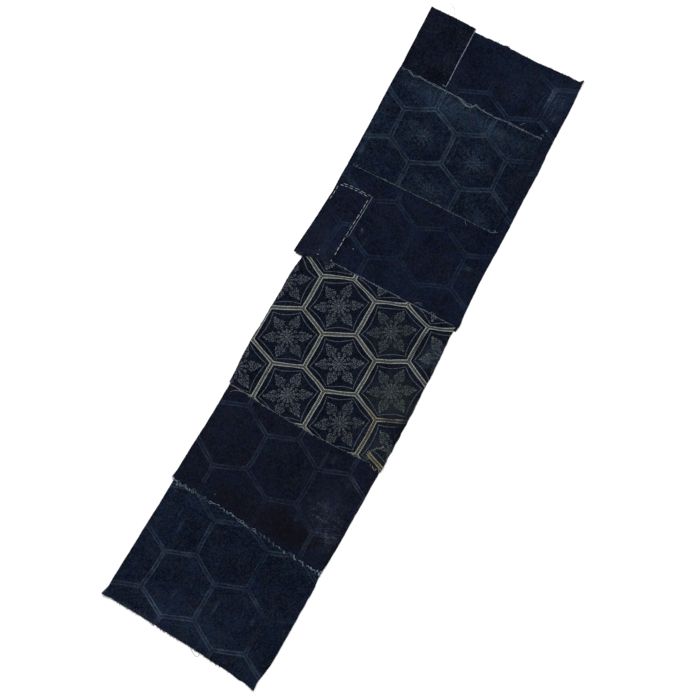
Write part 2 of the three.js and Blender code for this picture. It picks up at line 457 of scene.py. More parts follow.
def thin_sheet(name, x, y, top, thick, material):
    """A closed sheet over a grid of points, and its flat size and area in metres."""
    rows, columns = x.shape
    count = rows * columns
    points = np.concatenate([np.stack((x, y, z), -1).reshape(-1, 3) for z in (top, top - thick)])
    index = np.arange(count).reshape(rows, columns)
    corners = index[:-1, :-1], index[:-1, 1:], index[1:, 1:], index[1:, :-1]
    upper = np.stack([corner.ravel() for corner in corners], 1)
    under = upper[:, ::-1] + count
    rim = round_the_edge(index)
    ahead = np.roll(rim, -1)
    edge = np.stack((ahead, rim, rim + count, ahead + count), 1)
    faces = np.concatenate((upper, under, edge))
    flat_faces = np.arange(len(faces) - len(edge), len(faces))
    near = np.zeros((rows, columns))
    near[1:-1, [0, -1]] = 0.35
    near[[1, -2]] = 0.35
    near[[0, -1]] = 1
    piece = as_object(name, points, faces.tolist(), material, flat_faces, rim=np.tile(near.ravel(), 2))
    line = round_the_edge(np.stack((x, y), -1))
    beyond = np.roll(line, -1, axis=0)
    area = abs(np.sum(line[:, 0] * beyond[:, 1] - beyond[:, 0] * line[:, 1])) / 2
    width = (x[:, -1] - x[:, 0]).max()
    length = max((y[-1] - y[0]).max(), area / width)
    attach(piece, "root")
    return piece, (width * MM, length * MM), area * MM * MM


# --- Shader wiring --------------------------------------------------------------------------


class Number:
    """The number at a socket; arithmetic on it adds Math nodes."""

    def __init__(self, tree, socket):
        self.tree = tree
        self.socket = socket

    def math(self, operation, *others, first=None):
        node = self.tree.nodes.new("ShaderNodeMath")
        node.operation = operation
        values = [self, *others] if first is None else [first, self, *others]
        for slot, value in zip(node.inputs, values):
            if isinstance(value, Number):
                self.tree.links.new(value.socket, slot)
            else:
                slot.default_value = value
        return Number(self.tree, node.outputs[0])

    def __add__(self, other):
        return self.math("ADD", other)

    __radd__ = __add__

    def __sub__(self, other):
        return self.math("SUBTRACT", other)

    def __rsub__(self, other):
        return self.math("SUBTRACT", first=other)

    def __mul__(self, other):
        return self.math("MULTIPLY", other)

    __rmul__ = __mul__

    def __truediv__(self, other):
        return self.math("DIVIDE", other)

    def __rtruediv__(self, other):
        return self.math("DIVIDE", first=other)

    def __abs__(self):
        return self.math("ABSOLUTE")

    def least(self, other):
        return self.math("MINIMUM", other)

    def most(self, other):
        return self.math("MAXIMUM", other)

    def within(self, start, end):
        """0 where this is start, 1 where it is end, smooth between, and clamped."""
        node = self.tree.nodes.new("ShaderNodeMapRange")
        node.interpolation_type = "SMOOTHSTEP"
        for slot, value in (("Value", self), ("From Min", start), ("From Max", end)):
            if isinstance(value, Number):
                self.tree.links.new(value.socket, node.inputs[slot])
            else:
                node.inputs[slot].default_value = value
        return Number(self.tree, node.outputs["Result"])

    def line(self, centre, half, soft):
        """1 within half of centre, 0 beyond half + soft."""
        return 1 - abs(self - centre).within(half, half + soft)

    def mix(self, low, high):
        """low where this is 0 and high where it is 1."""
        return low + (high - low) * self


class Wiring:
    """Adds nodes to one tree and links them."""

    def __init__(self, tree):
        self.tree = tree

    def node(self, kind, inputs=None, **settings):
        node = self.tree.nodes.new(kind)
        for key, value in settings.items():
            setattr(node, key, value)
        for key, value in (inputs or {}).items():
            self.feed(value, node.inputs[key])
        return node

    def feed(self, value, slot):
        if isinstance(value, Number):
            value = value.socket
        if isinstance(value, bpy.types.NodeSocket):
            self.tree.links.new(value, slot)
        else:
            slot.default_value = value

    def split(self, vector):
        node = self.node("ShaderNodeSeparateXYZ", {"Vector": vector})
        return [Number(self.tree, node.outputs[axis]) for axis in "XYZ"]

    def vector(self, x, y, z):
        return self.node("ShaderNodeCombineXYZ", {"X": x, "Y": y, "Z": z}).outputs[0]

    def noise(self, x, y, z, size_x, size_y=None, detail=2.0, roughness=0.55):
        """Soft noise from about 0.2 to 0.8 whose grain is size_x by size_y mm."""
        place = self.vector(x / size_x, y / (size_y or size_x), z)
        node = self.node(
            "ShaderNodeTexNoise",
            {"Vector": place, "Scale": 1.0, "Detail": detail, "Roughness": roughness},
        )
        return Number(self.tree, node.outputs["Fac"])

    def sway(self, x, y, z, size, amount):
        """Soft noise about zero, amount times as strong."""
        return (self.noise(x, y, z, size, detail=1.0) - 0.5) * amount

    def times(self, colour_socket, by):
        """A colour with each part multiplied by the part of another."""
        node = self.node("ShaderNodeVectorMath", operation="MULTIPLY")
        self.feed(colour_socket, node.inputs[0])
        self.feed(by, node.inputs[1])
        return node.outputs[0]

    def blend(self, factor, low, high):
        """A colour between low and high."""
        node = self.node("ShaderNodeMix", data_type="RGBA")
        self.feed(factor, node.inputs[0])
        self.feed(low, node.inputs[6])
        self.feed(high, node.inputs[7])
        return node.outputs[2]

    def group(self, tree, **inputs):
        """A placed group's outputs by name: a Number each, or a colour's socket."""
        node = self.node("ShaderNodeGroup", node_tree=tree)
        for key, value in inputs.items():
            self.feed(value, node.inputs[key.replace("_", " ").title()])
        return {
            socket.name: Number(self.tree, socket) if socket.type == "VALUE" else socket
            for socket in node.outputs
        }

    def surface(self, shader, kind="ShaderNodeOutputMaterial"):
        """Ends the tree in its output."""
        self.feed(shader.outputs[0], self.node(kind).inputs["Surface"])


def colour(red, green, blue):
    """An sRGB colour, each part 0 to 255, as the linear colour that a socket takes."""
    parts = [value / 255 for value in (red, green, blue)]
    return tuple(p / 12.92 if p < 0.04045 else ((p + 0.055) / 1.055) ** 2.4 for p in parts) + (1.0,)


def new_material(name):
    """An empty material and the wiring to fill it."""
    material = bpy.data.materials.new(name)
    material.use_nodes = True
    wires = Wiring(material.node_tree)
    wires.tree.nodes.clear()
    return material, wires


def new_group(name, inputs, outputs):
    """A node group with these sockets: {name: default} in and {name: kind} out."""
    tree = bpy.data.node_groups.new(name, "ShaderNodeTree")
    for key, default in inputs.items():
        kind = "NodeSocketColor" if isinstance(default, tuple) else "NodeSocketFloat"
        socket = tree.interface.new_socket(name=key, in_out="INPUT", socket_type=kind)
        socket.default_value = default
    for key, kind in outputs.items():
        tree.interface.new_socket(name=key, in_out="OUTPUT", socket_type="NodeSocket" + kind)
    source = tree.nodes.new("NodeGroupInput")
    sink = tree.nodes.new("NodeGroupOutput")
    wires = Wiring(tree)
    given = {
        key: source.outputs[key] if isinstance(default, tuple) else Number(tree, source.outputs[key])
        for key, default in inputs.items()
    }

    def give(**results):
        for key, value in results.items():
            wires.feed(value, sink.inputs[key.replace("_", " ").title()])
        return tree

    return wires, given, give


def cloth_place():
    """Where a point lies on the cloth, in mm, plain and as the dyer's paste shifted it."""
    places = ("Across", "Up", "Printed Across", "Printed Up")
    wires, _, give = new_group("Cloth place", {}, {key: "Float" for key in places})
    place = wires.node("ShaderNodeTexCoord").outputs["Object"]
    across, up, _ = wires.split(place)
    across = (across - frame_low.x) * 1000 + LEFTMOST
    up = (up - frame_low.y) * 1000
    drift_x = wires.sway(across, up, 3.1, 46, 4.0)
    drift_y = wires.sway(across, up, 8.7, 46, 4.0)
    jitter_x = wires.sway(across, up, 5.3, 2.2, 0.9)
    jitter_y = wires.sway(across, up, 1.9, 2.2, 0.9)
    return give(across=across, up=up, printed_across=across + drift_x + jitter_x,
                printed_up=up + drift_y + jitter_y)


def tortoiseshell():
    """The pointed-top hexagon lattice. Distance is to the nearest band's middle, Along runs along
    that band, and the cell outputs are places from the middle of the cell the point lies in."""
    _, given, give = new_group(
        "Tortoiseshell lattice",
        {"Across": 0.0, "Up": 0.0, "Centre X": 0.0, "Centre Y": 0.0, "Width": 110.0, "Pitch": 97.0,
         "Rise": 27.5, "Slope": 0.0, "Fan": 0.0, "Lean": 0.0, "Stretch": 0.0},
        {"Distance": "Float", "Along": "Float", "Cell X": "Float", "Cell Y": "Float",
         "Side Gap": "Float", "Slant Gap": "Float", "Slant Along": "Float"},
    )
    width, pitch, rise = given["Width"], given["Pitch"], given["Rise"]
    x = given["Across"] - given["Centre X"]
    y = given["Up"] - given["Centre Y"]
    y_flat = y - (given["Slope"] + given["Fan"] * y) * x
    x = x - given["Lean"] * y
    y = y_flat * (1 + given["Stretch"] * y_flat)
    half_side = (pitch - rise) * 0.5
    tangent = rise * 2 / width
    steep = 1 / (tangent * tangent + 1).math("SQRT")

    def cell(shift_x, shift_y):
        cx = x - shift_x
        cy = y - shift_y
        cx = cx - width * (cx / width).math("ROUND")
        cy = cy - pitch * 2 * (cy / (pitch * 2)).math("ROUND")
        side_gap = width * 0.5 - abs(cx)
        slant_gap = (half_side + rise - tangent * abs(cx) - abs(cy)) * steep
        return cx, cy, side_gap, slant_gap, side_gap.least(slant_gap)

    even = cell(0.0, 0.0)
    odd = cell(width * 0.5, pitch)
    in_even = even[4].math("GREATER_THAN", odd[4])
    cx, cy, side_gap, slant_gap, gap = (in_even.mix(b, a) for a, b in zip(even, odd))
    on_side = side_gap.math("LESS_THAN", slant_gap)
    along = on_side.mix(abs(cx) / steep, cy)
    drop = (abs(cy) - half_side - rise * 0.5) * tangent * steep
    slant_along = (abs(cx) - width * 0.25) * steep - drop
    return give(distance=gap, along=along, cell_x=cx, cell_y=cy, side_gap=side_gap,
                slant_gap=slant_gap, slant_along=slant_along)


def ladder_band():
    """Two solid lines with a ladder of small rungs between them, as the stencil left the band."""
    _, given, give = new_group(
        "Ladder band", {"Distance": 0.0, "Along": 0.0, "Breaks": 0.5}, {"Mask": "Float"}
    )
    gap, along = given["Distance"], given["Along"]
    lines = gap.line(2.95, 0.62, 0.4)
    rung = (along / 3.26).math("FRACT").line(0.5, 0.13, 0.12) * (1 - gap.within(1.2, 1.9))
    return give(mask=lines.most(rung * 0.5) * (1 - given["Breaks"].within(0.5, 0.7) * 0.6))


def faint_band():
    """A double line worn almost into the ground, sharp or blurred."""
    _, given, give = new_group(
        "Faint band", {"Distance": 0.0, "Spread": 3.0, "Blur": 0.0, "Strength": 1.0}, {"Mask": "Float"}
    )
    gap, spread, blur = given["Distance"], given["Spread"], given["Blur"]
    lines = gap.line(spread, 0.4, 0.8 + 1.4 * blur) * (1 - 0.3 * blur)
    fill = (1 - gap.within(spread - 0.4, spread + 1.2 + 3.0 * blur)) * (0.12 + 0.4 * blur)
    return give(mask=lines.most(fill) * given["Strength"])


def side_arcs():
    """A thin line inside each side of a cell, bowing in towards its middle."""
    _, given, give = new_group(
        "Side arcs",
        {"Side Gap": 0.0, "Slant Gap": 0.0, "Cell Y": 0.0, "Slant Along": 0.0, "Half Side": 34.7,
         "Half Slant": 30.9},
        {"Mask": "Float"},
    )
    side, slant = given["Side Gap"], given["Slant Gap"]
    on_side = side.math("LESS_THAN", slant)
    side_share = given["Cell Y"] / given["Half Side"]
    slant_share = given["Slant Along"] / given["Half Slant"]
    share = on_side.mix(slant_share, side_share)
    share = (share * share).least(1.0)
    gap = side.least(slant)
    arc = 13.2 - 6.0 * share
    return give(mask=gap.line(arc, 0.3, 0.5) * (1 - 0.6 * share.within(0.86, 1.0)))


def leaf_flower():
    """Six pointed leaves of scrolls and beads, round twelve petals and a ring of small curls."""
    _, given, give = new_group(
        "Leaf flower", {"Cell X": 0.0, "Cell Y": 0.0}, {"Mask": "Float"}
    )
    x, y = given["Cell X"], given["Cell Y"]
    radius = (x * x + y * y).math("SQRT")
    angle = y.math("ARCTAN2", x)

    def fold(turn, count):
        """Along and across one of count equal sectors, the first about turn."""
        half = math.pi / count
        folded = (angle - turn).math("WRAP", half, -half)
        return radius * folded.math("COSINE"), abs(radius * folded.math("SINE"))

    def ring(along, across, at, aside, size, eye=0.35):
        """A small round loop at a place of a sector, and the dark eye inside it."""
        away = ((along - at) * (along - at) + (across - aside) * (across - aside)).math("SQRT")
        return away.line(size, 0.35, 0.45), 1 - away.within(size * eye, size * (eye + 0.4))

    along, across = fold(math.pi / 2, 6)
    share = ((along - 20.8) / 26.0).most(0.0).least(1.0)
    half_width = 9.2 * (share.math("POWER", 0.5) * math.pi).math("SINE") * (1.12 - 0.3 * share)
    lobes = ((along - 20.6) * (2 * math.pi / 5.6)).math("SINE")
    half_width = half_width + 0.95 * lobes * half_width.least(1.0)
    inside = half_width - across
    within = inside.within(0.0, 0.7)
    rim = inside.line(0.75, 0.3, 0.45)
    scroll, scroll_eye = ring(along, across, 27.6, 4.5, 2.5)
    bead, bead_eye = ring(along, across, 35.0, 0.0, 2.3)
    midrib = across.line(0.0, 0.3, 0.45) * along.within(20.5, 22) * (1 - along.within(30.5, 32))
    tip = (1 - across.within(0.5, 1.6)) * along.within(38.5, 40) * (1 - along.within(43.5, 46))
    leaf = within * (scroll * 0.6).most(bead * 0.6).most(midrib * 0.55).most(tip * 0.5).most(0.06)
    leaf = leaf.most(rim * 0.75) * (1 - scroll_eye * 0.95) * (1 - bead_eye * 0.9)

    petal_along, petal_across = fold(math.pi / 2, 12)
    petal_width = (petal_along - 1.0) * 0.19
    petals = (petal_width - petal_across).within(-0.3, 0.4) * (1 - petal_along.within(13.0, 14.6))
    veins = (radius / 3.6).math("FRACT").line(0.5, 0.2, 0.2)
    petals = petals * (0.62 + 0.38 * veins)
    gap_along, gap_across = fold(0.0, 12)
    curl, curl_eye = ring(gap_along, gap_across, 18.6, 0.0, 2.2, 0.5)
    bud, bud_eye = ring(petal_along, petal_across, 18.6, 0.0, 1.2, 0.2)
    stalks = across.line(0.0, 0.35, 0.45) * radius.within(12, 13.5) * (1 - radius.within(21, 22))
    stalks = stalks * 0.7
    heart = (1 - radius.within(2.0, 3.2)) * 0.72
    rosette = (curl * 0.6).most(bud * 0.5).most(petals * 0.66).most(stalks).most(heart)
    eyes = (1 - curl_eye * 0.95) * (1 - bud_eye * 0.6)
    return give(mask=leaf.most(rosette) * eyes)


def plain_weave():
    """Hand-spun plain weave: height of the threads, and how light each one is, with painted shade in the gaps
    between threads.
    """
    wires, given, give = new_group(
        "Plain weave", {"Across": 0.0, "Up": 0.0, "Warp": 0.78, "Weft": 0.86, "Seed": 0.0},
        {"Height": "Float", "Tone": "Float"},
    )
    x, y, seed = given["Across"], given["Up"], given["Seed"]
    bend_x = wires.sway(x, y, seed + 2.0, 24, 3.0)
    bend_y = wires.sway(x, y, seed + 6.0, 24, 3.0)
    warp = (x + bend_x) / given["Warp"]
    weft = (y + bend_y) / given["Weft"]
    bumps = (warp * math.pi).math("SINE") * (weft * math.pi).math("SINE")
    warp_slub = wires.noise(warp.math("FLOOR") * 3.7, y, seed, 1.0, 38, detail=1.0)
    weft_slub = wires.noise(x, weft.math("FLOOR") * 3.7, seed + 4.0, 38, 1.0, detail=1.0)
    over = bumps.math("GREATER_THAN", 0.0)
    slub = over.mix(weft_slub, warp_slub)
    height = abs(bumps).math("POWER", 0.6) * (0.35 + 1.3 * slub)
    # Thread crowns lighter and the gaps between threads darker is painted shade; the slub term is the yarn's
    # own unevenness.
    tone = 0.62 + 0.5 * abs(bumps).math("SQRT") * (0.5 + slub) + 0.7 * (slub - 0.5)
    return give(height=height, tone=tone)


# How old indigo strays in hue: what each patch of it is multiplied by
RED_CAST, GREEN_CAST = (1.16, 0.87, 1.05, 1.0), (0.8, 1.12, 1.0, 1.0)
WARM_CAST, COOL_CAST = (1.16, 1.02, 0.87, 1.0), (0.84, 0.98, 1.14, 1.0)


def indigo_ground():
    """Uneven indigo: clouds, mottling, streaks along the threads, rubbed streaks and pale flecks."""
    wires, given, give = new_group(
        "Indigo ground",
        {"Across": 0.0, "Up": 0.0, "Seed": 0.0, "Deep": (0.0, 0.0, 0.0, 1.0),
         "Faded": (0.0, 0.0, 0.0, 1.0), "Fade": 0.4, "Clouds": 0.8, "Streaks": 0.6, "Mottle": 0.6,
         "Rubbing": 0.2, "Flecks": 0.2},
        {"Colour": "Color", "Fade": "Float"},
    )
    x, y, seed = given["Across"], given["Up"], given["Seed"]
    clouds = wires.noise(x, y, seed, 58, detail=3.0) - 0.5
    patches = wires.noise(x, y, seed + 1.5, 18, detail=2.0) - 0.5
    mottle = wires.noise(x, y, seed + 3.0, 5.2, detail=3.0, roughness=0.7) - 0.5
    grain = wires.noise(x, y, seed + 4.5, 1.9, detail=1.0) - 0.5
    warp = wires.noise(x, y, seed + 5.0, 1.6, 9, detail=2.0) - 0.5
    weft = wires.noise(x, y, seed + 7.0, 9, 1.6, detail=2.0) - 0.5
    rubbed = wires.noise(x, y, seed + 8.0, 3.4, 22, detail=2.0).within(0.56, 0.74)
    rubbed = rubbed * wires.noise(x, y, seed + 8.5, 34, detail=1.0).within(0.42, 0.62)
    flecks = wires.noise(x, y, seed + 9.5, 2.6, detail=1.0).within(0.68, 0.8)
    fade = (
        given["Fade"] + clouds * given["Clouds"] * 1.3 + (warp + weft) * given["Streaks"]
        + (patches * 0.6 + mottle * 0.8 + grain * 1.9) * given["Mottle"]
        + rubbed * given["Rubbing"] + flecks * given["Flecks"]
    )
    fade = fade.most(0.0).least(2.2)
    plain = wires.blend(fade, given["Deep"], given["Faded"])
    plain.node.clamp_factor = False
    fine_hue = wires.noise(x, y, seed + 11.0, 14, detail=2.0) * 0.5
    fine_hue = fine_hue + wires.noise(x, y, seed + 12.0, 3.6) * 0.5
    wide_hue = wires.noise(x, y, seed + 13.0, 26, detail=4.0, roughness=0.7)
    fine_cast = wires.blend(fine_hue.within(0.34, 0.66), RED_CAST, GREEN_CAST)
    wide_cast = wires.blend(wide_hue.within(0.34, 0.66), WARM_CAST, COOL_CAST)
    return give(colour=wires.times(wires.times(plain, fine_cast), wide_cast), fade=fade)


def soft_spot():
    """1 at a place on the cloth, fading out over its own width and height."""
    _, given, give = new_group(
        "Soft spot",
        {"Across": 0.0, "Up": 0.0, "Centre X": 0.0, "Centre Y": 0.0, "Reach X": 20.0, "Reach Y": 20.0},
        {"Mask": "Float"},
    )
    dx = (given["Across"] - given["Centre X"]) / given["Reach X"]
    dy = (given["Up"] - given["Centre Y"]) / given["Reach Y"]
    return give(mask=1 - (dx * dx + dy * dy).math("SQRT").within(0.25, 1.0))


def crease_line():
    """1 on a thin, slightly wandering line across the cloth, fading out at its ends."""
    wires, given, give = new_group(
        "Crease line",
        {"Across": 0.0, "Up": 0.0, "Centre X": 0.0, "Centre Y": 0.0, "Half Length": 100.0,
         "Slope": 0.0, "Thickness": 0.8},
        {"Mask": "Float"},
    )
    dx = given["Across"] - given["Centre X"]
    stray = wires.sway(given["Across"], given["Up"], 2.0, 16, 3.0)
    off = abs(given["Up"] - given["Centre Y"] - given["Slope"] * dx + stray)
    within = 1 - abs(dx).within(given["Half Length"] * 0.7, given["Half Length"])
    return give(mask=(1 - off.within(given["Thickness"] * 0.3, given["Thickness"])) * within)


def scuffing():
    """Pale threads rubbed bare, in short slanting scratches."""
    wires, given, give = new_group(
        "Scuffing", {"Across": 0.0, "Up": 0.0, "Seed": 0.0, "Amount": 0.0}, {"Mask": "Float"}
    )
    x, y, seed = given["Across"], given["Up"], given["Seed"]
    slanting = wires.noise(x + y * 0.5, y - x * 0.5, seed + 23.0, 5, 1.6, detail=3.0, roughness=0.7)
    upright = wires.noise(x, y, seed + 25.0, 1.5, 5, detail=3.0, roughness=0.7)
    patchy = wires.noise(x, y, seed + 27.0, 15, detail=1.0).within(0.4, 0.62).mix(0.25, 1.3)
    scratches = slanting.within(0.5, 0.7).most(upright.within(0.52, 0.72)) * patchy
    return give(mask=(scratches * given["Amount"]).least(0.8))


def strand_twist():
    """Painted shade of a twisted yarn's plies, and their height, from its length and the turn round it."""
    _, given, give = new_group(
        "Yarn twist", {"Length": 0.0, "Turn": 0.0, "Pitch": 1.6}, {"Ply": "Float"}
    )
    wave = ((given["Length"] / given["Pitch"] + given["Turn"]) * 2 * math.pi).math("SINE")
    return give(ply=0.5 + 0.5 * wave)


PLACE = cloth_place()
LATTICE = tortoiseshell()
LADDER = ladder_band()
FAINT = faint_band()
ARCS = side_arcs()
FLOWER = leaf_flower()
WEAVE = plain_weave()
GROUND = indigo_ground()
SPOT = soft_spot()
CREASE = crease_line()
SCUFF = scuffing()
TWIST = strand_twist()

# Each cloth's dye: deep and faded indigo, and how unevenly it took, wore, rubbed and flecked
DYES = {
    "end_cloth": dict(deep=(6, 10, 23), faded=(32, 42, 60), fade=0.38, clouds=0.45, streaks=1.1,
                      mottle=1.15, rubbing=0.35, flecks=0.45, rim=0.5),
    "lower_cloth": dict(deep=(7, 9, 20), faded=(31, 37, 54), fade=0.35, clouds=0.3, streaks=0.85,
                        mottle=0.8, rubbing=0.25, flecks=0.4, rim=0.4),
    "long_cloth": dict(deep=(6, 10, 23), faded=(30, 38, 57), fade=0.35, clouds=0.6, streaks=0.9,
                       mottle=0.85, rubbing=0.2, flecks=0.25, rim=0.1),
    "patterned_cloth": dict(deep=(6, 9, 20), faded=(34, 41, 57), fade=0.22, clouds=0.5, streaks=0.8,
                            mottle=0.9, rubbing=0.2, flecks=0.3, rim=0.5),
    "corner_patch": dict(deep=(6, 9, 20), faded=(31, 37, 53), fade=0.25, clouds=1.0, streaks=1.0,
                         mottle=1.15, rubbing=0.15, flecks=0.35, rim=0.1),
    "faded_patch": dict(deep=(7, 12, 27), faded=(35, 47, 63), fade=0.23, clouds=0.5, streaks=1.3,
                        mottle=1.1, rubbing=0.5, flecks=0.45, rim=0.55),
    "pocket_patch": dict(deep=(8, 11, 24), faded=(33, 39, 58), fade=0.27, clouds=0.6, streaks=0.8,
                         mottle=0.8, rubbing=0.2, flecks=0.2, rim=0.3),
    "edge_scrap": dict(deep=(8, 11, 19), faded=(36, 42, 50), fade=0.45, clouds=0.5, streaks=0.9,
                       mottle=1.1, rubbing=0.3, flecks=0.4, rim=0.6),
}
# Each cloth's lattice: the middle of one cell, its width, the rows' pitch, the rise of a slanted
# side, how rows slope, fan and stretch and columns lean as the cloth was cut and pulled (none where
# not given), the resist's colour, and how strongly it shows where it is worn
LATTICE_SHAPE = ("width", "pitch", "rise", "slope", "fan", "lean", "stretch")
LATTICES = {
    "end_cloth": dict(centre=(59, 95), width=115.5, pitch=105.5, rise=27.5, slope=-0.082, lean=0.01,
                      tint=(76, 95, 118), strength=0.27),
    "lower_cloth": dict(centre=(10, 389), width=113.5, pitch=99.8, rise=27.5, slope=-0.093,
                        lean=0.012, tint=(68, 80, 104), strength=0.23),
    "long_cloth": dict(centre=(63.4, 873.3), width=108, pitch=91.3, rise=26, slope=0.003,
                       lean=-0.012, stretch=0.000115, tint=(60, 80, 106), strength=0.2),
    "patterned_cloth": dict(centre=(7.5, 613.7), width=110.3, pitch=97.2, rise=26, slope=0.024,
                            fan=0.00024, lean=0.0155, tint=(156, 160, 153)),
    "edge_scrap": dict(centre=(126.3, 434.8), width=111, pitch=97, rise=27, slope=0.1,
                       tint=(158, 156, 130)),
    "faded_patch": dict(centre=(44, 1066), width=107.5, pitch=87.5, rise=25.5, slope=0.015,
                        lean=-0.035, tint=(84, 106, 124), strength=0.2),
    "pocket_patch": dict(centre=(-113.4, 904), width=110, pitch=92, rise=26, lean=0.086,
                         tint=(54, 74, 100), strength=0.17),
}
# Places where the cloth was printed or pulled out of true: x, y, reach across and up, and how far
# to the left and down the lattice moved there
PULLED = {
    "patterned_cloth": ((0, 772, 400, 18, 0, 3.4), (0, 747, 400, 14, 0, -2.0), (0, 555, 400, 20, 0, -2.8),
                        (-152, 762, 46, 26, 0, -4.5), (0, 494, 400, 22, 0, 3.0),
                        (112, 716, 90, 60, 1.9, 0), (112, 520, 90, 60, -2.1, 0)),
    "lower_cloth": ((-108, 326, 110, 80, 3.6, 3.0), (116, 306, 110, 80, 5.6, 4.2)),
    "end_cloth": ((-53, 246, 110, 60, 0, 6.5), (-110, 149, 90, 80, -4.2, 0)),
    "faded_patch": ((-119, 1094, 90, 60, 0, 4.0),),
    "long_cloth": ((138, 1272, 60, 40, 0, -5.0),),
}
# Places where the lattice shows more or less than elsewhere: x, y, reach across and up, amount
SHOWING = {
    "end_cloth": ((-60, 90, 90, 80, 0.14), (60, 40, 80, 50, 0.14), (150, 180, 60, 90, -0.2),
                  (-110, 62, 60, 40, 0.1), (10, 258, 170, 34, -0.1), (118, 110, 40, 80, -0.2),
                  (-78, 52, 10, 10, 0.35), (-114, 104, 14, 44, 0.12), (-52, 188, 12, 20, 0.14),
                  (-61, 38, 12, 10, 0.2), (72, 38, 14, 10, 0.16), (116, 44, 12, 10, 0.2),
                  (62, 192, 14, 36, -0.17)),
    "lower_cloth": ((-60, 440, 90, 40, 0.08), (0, 290, 60, 60, -0.16), (80, 350, 60, 50, -0.06),
                    (-110, 340, 60, 60, 0.08), (-108, 286, 14, 22, -0.2), (40, 300, 16, 30, -0.1),
                    (143, 430, 22, 16, 0.3), (80, 366, 12, 12, -0.3)),
    "long_cloth": ((113, 1235, 12, 60, 0.4), (130, 1266, 34, 14, 0.16), (98, 1266, 30, 20, 0.06),
                   (20, 1258, 90, 62, -0.34),
                   (-60, 1235, 40, 66, -0.3), (70, 1185, 90, 26, 0.06), (118, 870, 20, 60, 0.08),
                   (63, 955, 24, 42, -0.32), (63, 783, 24, 34, -0.3), (-135, 950, 36, 30, -0.1),
                   (8, 870, 16, 44, -0.14)),
    "faded_patch": ((-40, 1112, 60, 26, 0.18), (-11, 1070, 16, 50, 0.03), (20, 1022, 60, 16, 0.06),
                    (140, 1090, 40, 60, -0.16), (-150, 1080, 26, 40, -0.1), (-65, 1140, 14, 34, 0.26),
                    (-119, 1062, 12, 36, -0.06), (-62, 985, 14, 26, -0.05)),
    "pocket_patch": ((-106, 850, 16, 18, 0.18), (-140, 900, 40, 40, -0.1), (-142, 862, 18, 22, -0.14)),
    "patterned_cloth": ((64, 710, 64, 64, -0.4), (118, 616, 66, 66, -0.3), (62, 518, 64, 60, -0.3),
                        (-49, 517, 64, 60, -0.14), (-46, 707, 64, 60, -0.18), (-103, 611, 60, 60, -0.16),
                        (168, 712, 30, 50, -0.5), (-148, 706, 34, 50, -0.25), (-150, 520, 34, 50, -0.2)),
}
# Places where the lattice's lines have run and blurred: x, y, reach across and up, amount
BLURRED = {
    "long_cloth": ((114, 1262, 30, 20, 0.3), (114, 1218, 14, 44, -0.4)),
    "lower_cloth": ((110, 300, 60, 40, 0.3),),
}
# Places where a ghost of the cell's flower and arcs still shows: x, y, reach across and up, amount
GHOSTS = {
    "faded_patch": ((44, 1066, 44, 40, 0.46), (-4, 1066, 14, 48, 0.5), (-70, 1066, 46, 42, 0.36),
                    (-65, 1140, 50, 28, 0.38), (42, 1140, 44, 26, 0.32), (-10, 985, 60, 26, 0.3),
                    (98, 985, 40, 26, 0.2)),
    "long_cloth": ((128, 1228, 30, 48, 0.5), (98, 1228, 14, 40, 0.4), (60, 1225, 48, 40, 0.24)),
    "lower_cloth": ((128, 352, 48, 44, 0.4), (143, 300, 30, 26, 0.3)),
    "end_cloth": ((0, 40, 100, 34, 0.14),),
}
# Places where the pale resist of the patterned cloth has yellowed: as above
YELLOWED = ((118, 560, 46, 130, 0.75), (84, 640, 46, 36, 0.5), (40, 535, 50, 40, 0.2),
            (158, 484, 30, 16, 0.5))
# Places where the resist is rubbed away: x, y, reach across and up, amount
LOST = {
    "patterned_cloth": ((170, 572, 17, 80, 0.9), (172, 720, 12, 60, 0.3), (-158, 500, 10, 30, 0.4),
                        (121.6, 718, 4.4, 40, 0.75), (143, 569, 24, 16, 0.6)),
    "edge_scrap": ((166, 504, 12, 16, 0.3),),
}
# Pale scuffs where the threads are rubbed through: x, y, reach across and up, amount
SCUFFS = {
    "end_cloth": ((24, 103, 3, 28, 0.4), (96, 108, 3, 14, 0.4), (-108, 205, 3.5, 40, 0.3),
                  (-55, 86, 3, 16, 0.3), (-78, 50, 6, 6, 0.5), (-118, 226, 3, 12, 0.25),
                  (-105, 24, 60, 7, 0.45), (-118, 60, 40, 14, 0.2), (120, 30, 50, 12, 0.15)),
    "lower_cloth": ((124, 352, 50, 60, 0.3), (118, 367, 34, 4, 0.5), (130, 343, 38, 4, 0.42),
                    (106, 353, 22, 3, 0.4), (152, 324, 20, 4, 0.5), (146, 318, 30, 16, 0.6),
                    (137, 421, 14, 8, 0.45), (42, 423, 7, 7, 0.4), (40, 382, 4, 8, 0.4), (60, 371, 3, 4, 0.5),
                    (154, 304, 16, 22, 0.25), (70, 445, 4, 26, 0.3), (86, 452, 5, 12, 0.3),
                    (169, 395, 2.4, 90, 0.6)),
    "long_cloth": ((-62, 838, 4, 16, 0.35), (-77, 854, 5, 6, 0.5), (136.5, 1222, 2, 44, 0.6),
                   (128, 1225, 20, 50, 0.12), (112, 1244, 6, 18, 0.7), (122, 1236, 2, 24, 0.4)),
    "faded_patch": ((-135, 1140, 26, 16, 0.4), (-152, 985, 7, 16, 0.5), (-151, 1012, 6, 8, 0.4),
                    (-30, 1147, 40, 12, 0.4), (-10, 1066, 4, 40, 0.3), (75, 1066, 24, 12, 0.2)),
    "patterned_cloth": ((154, 712, 22, 40, 0.4), (150, 530, 20, 30, 0.3)),
}
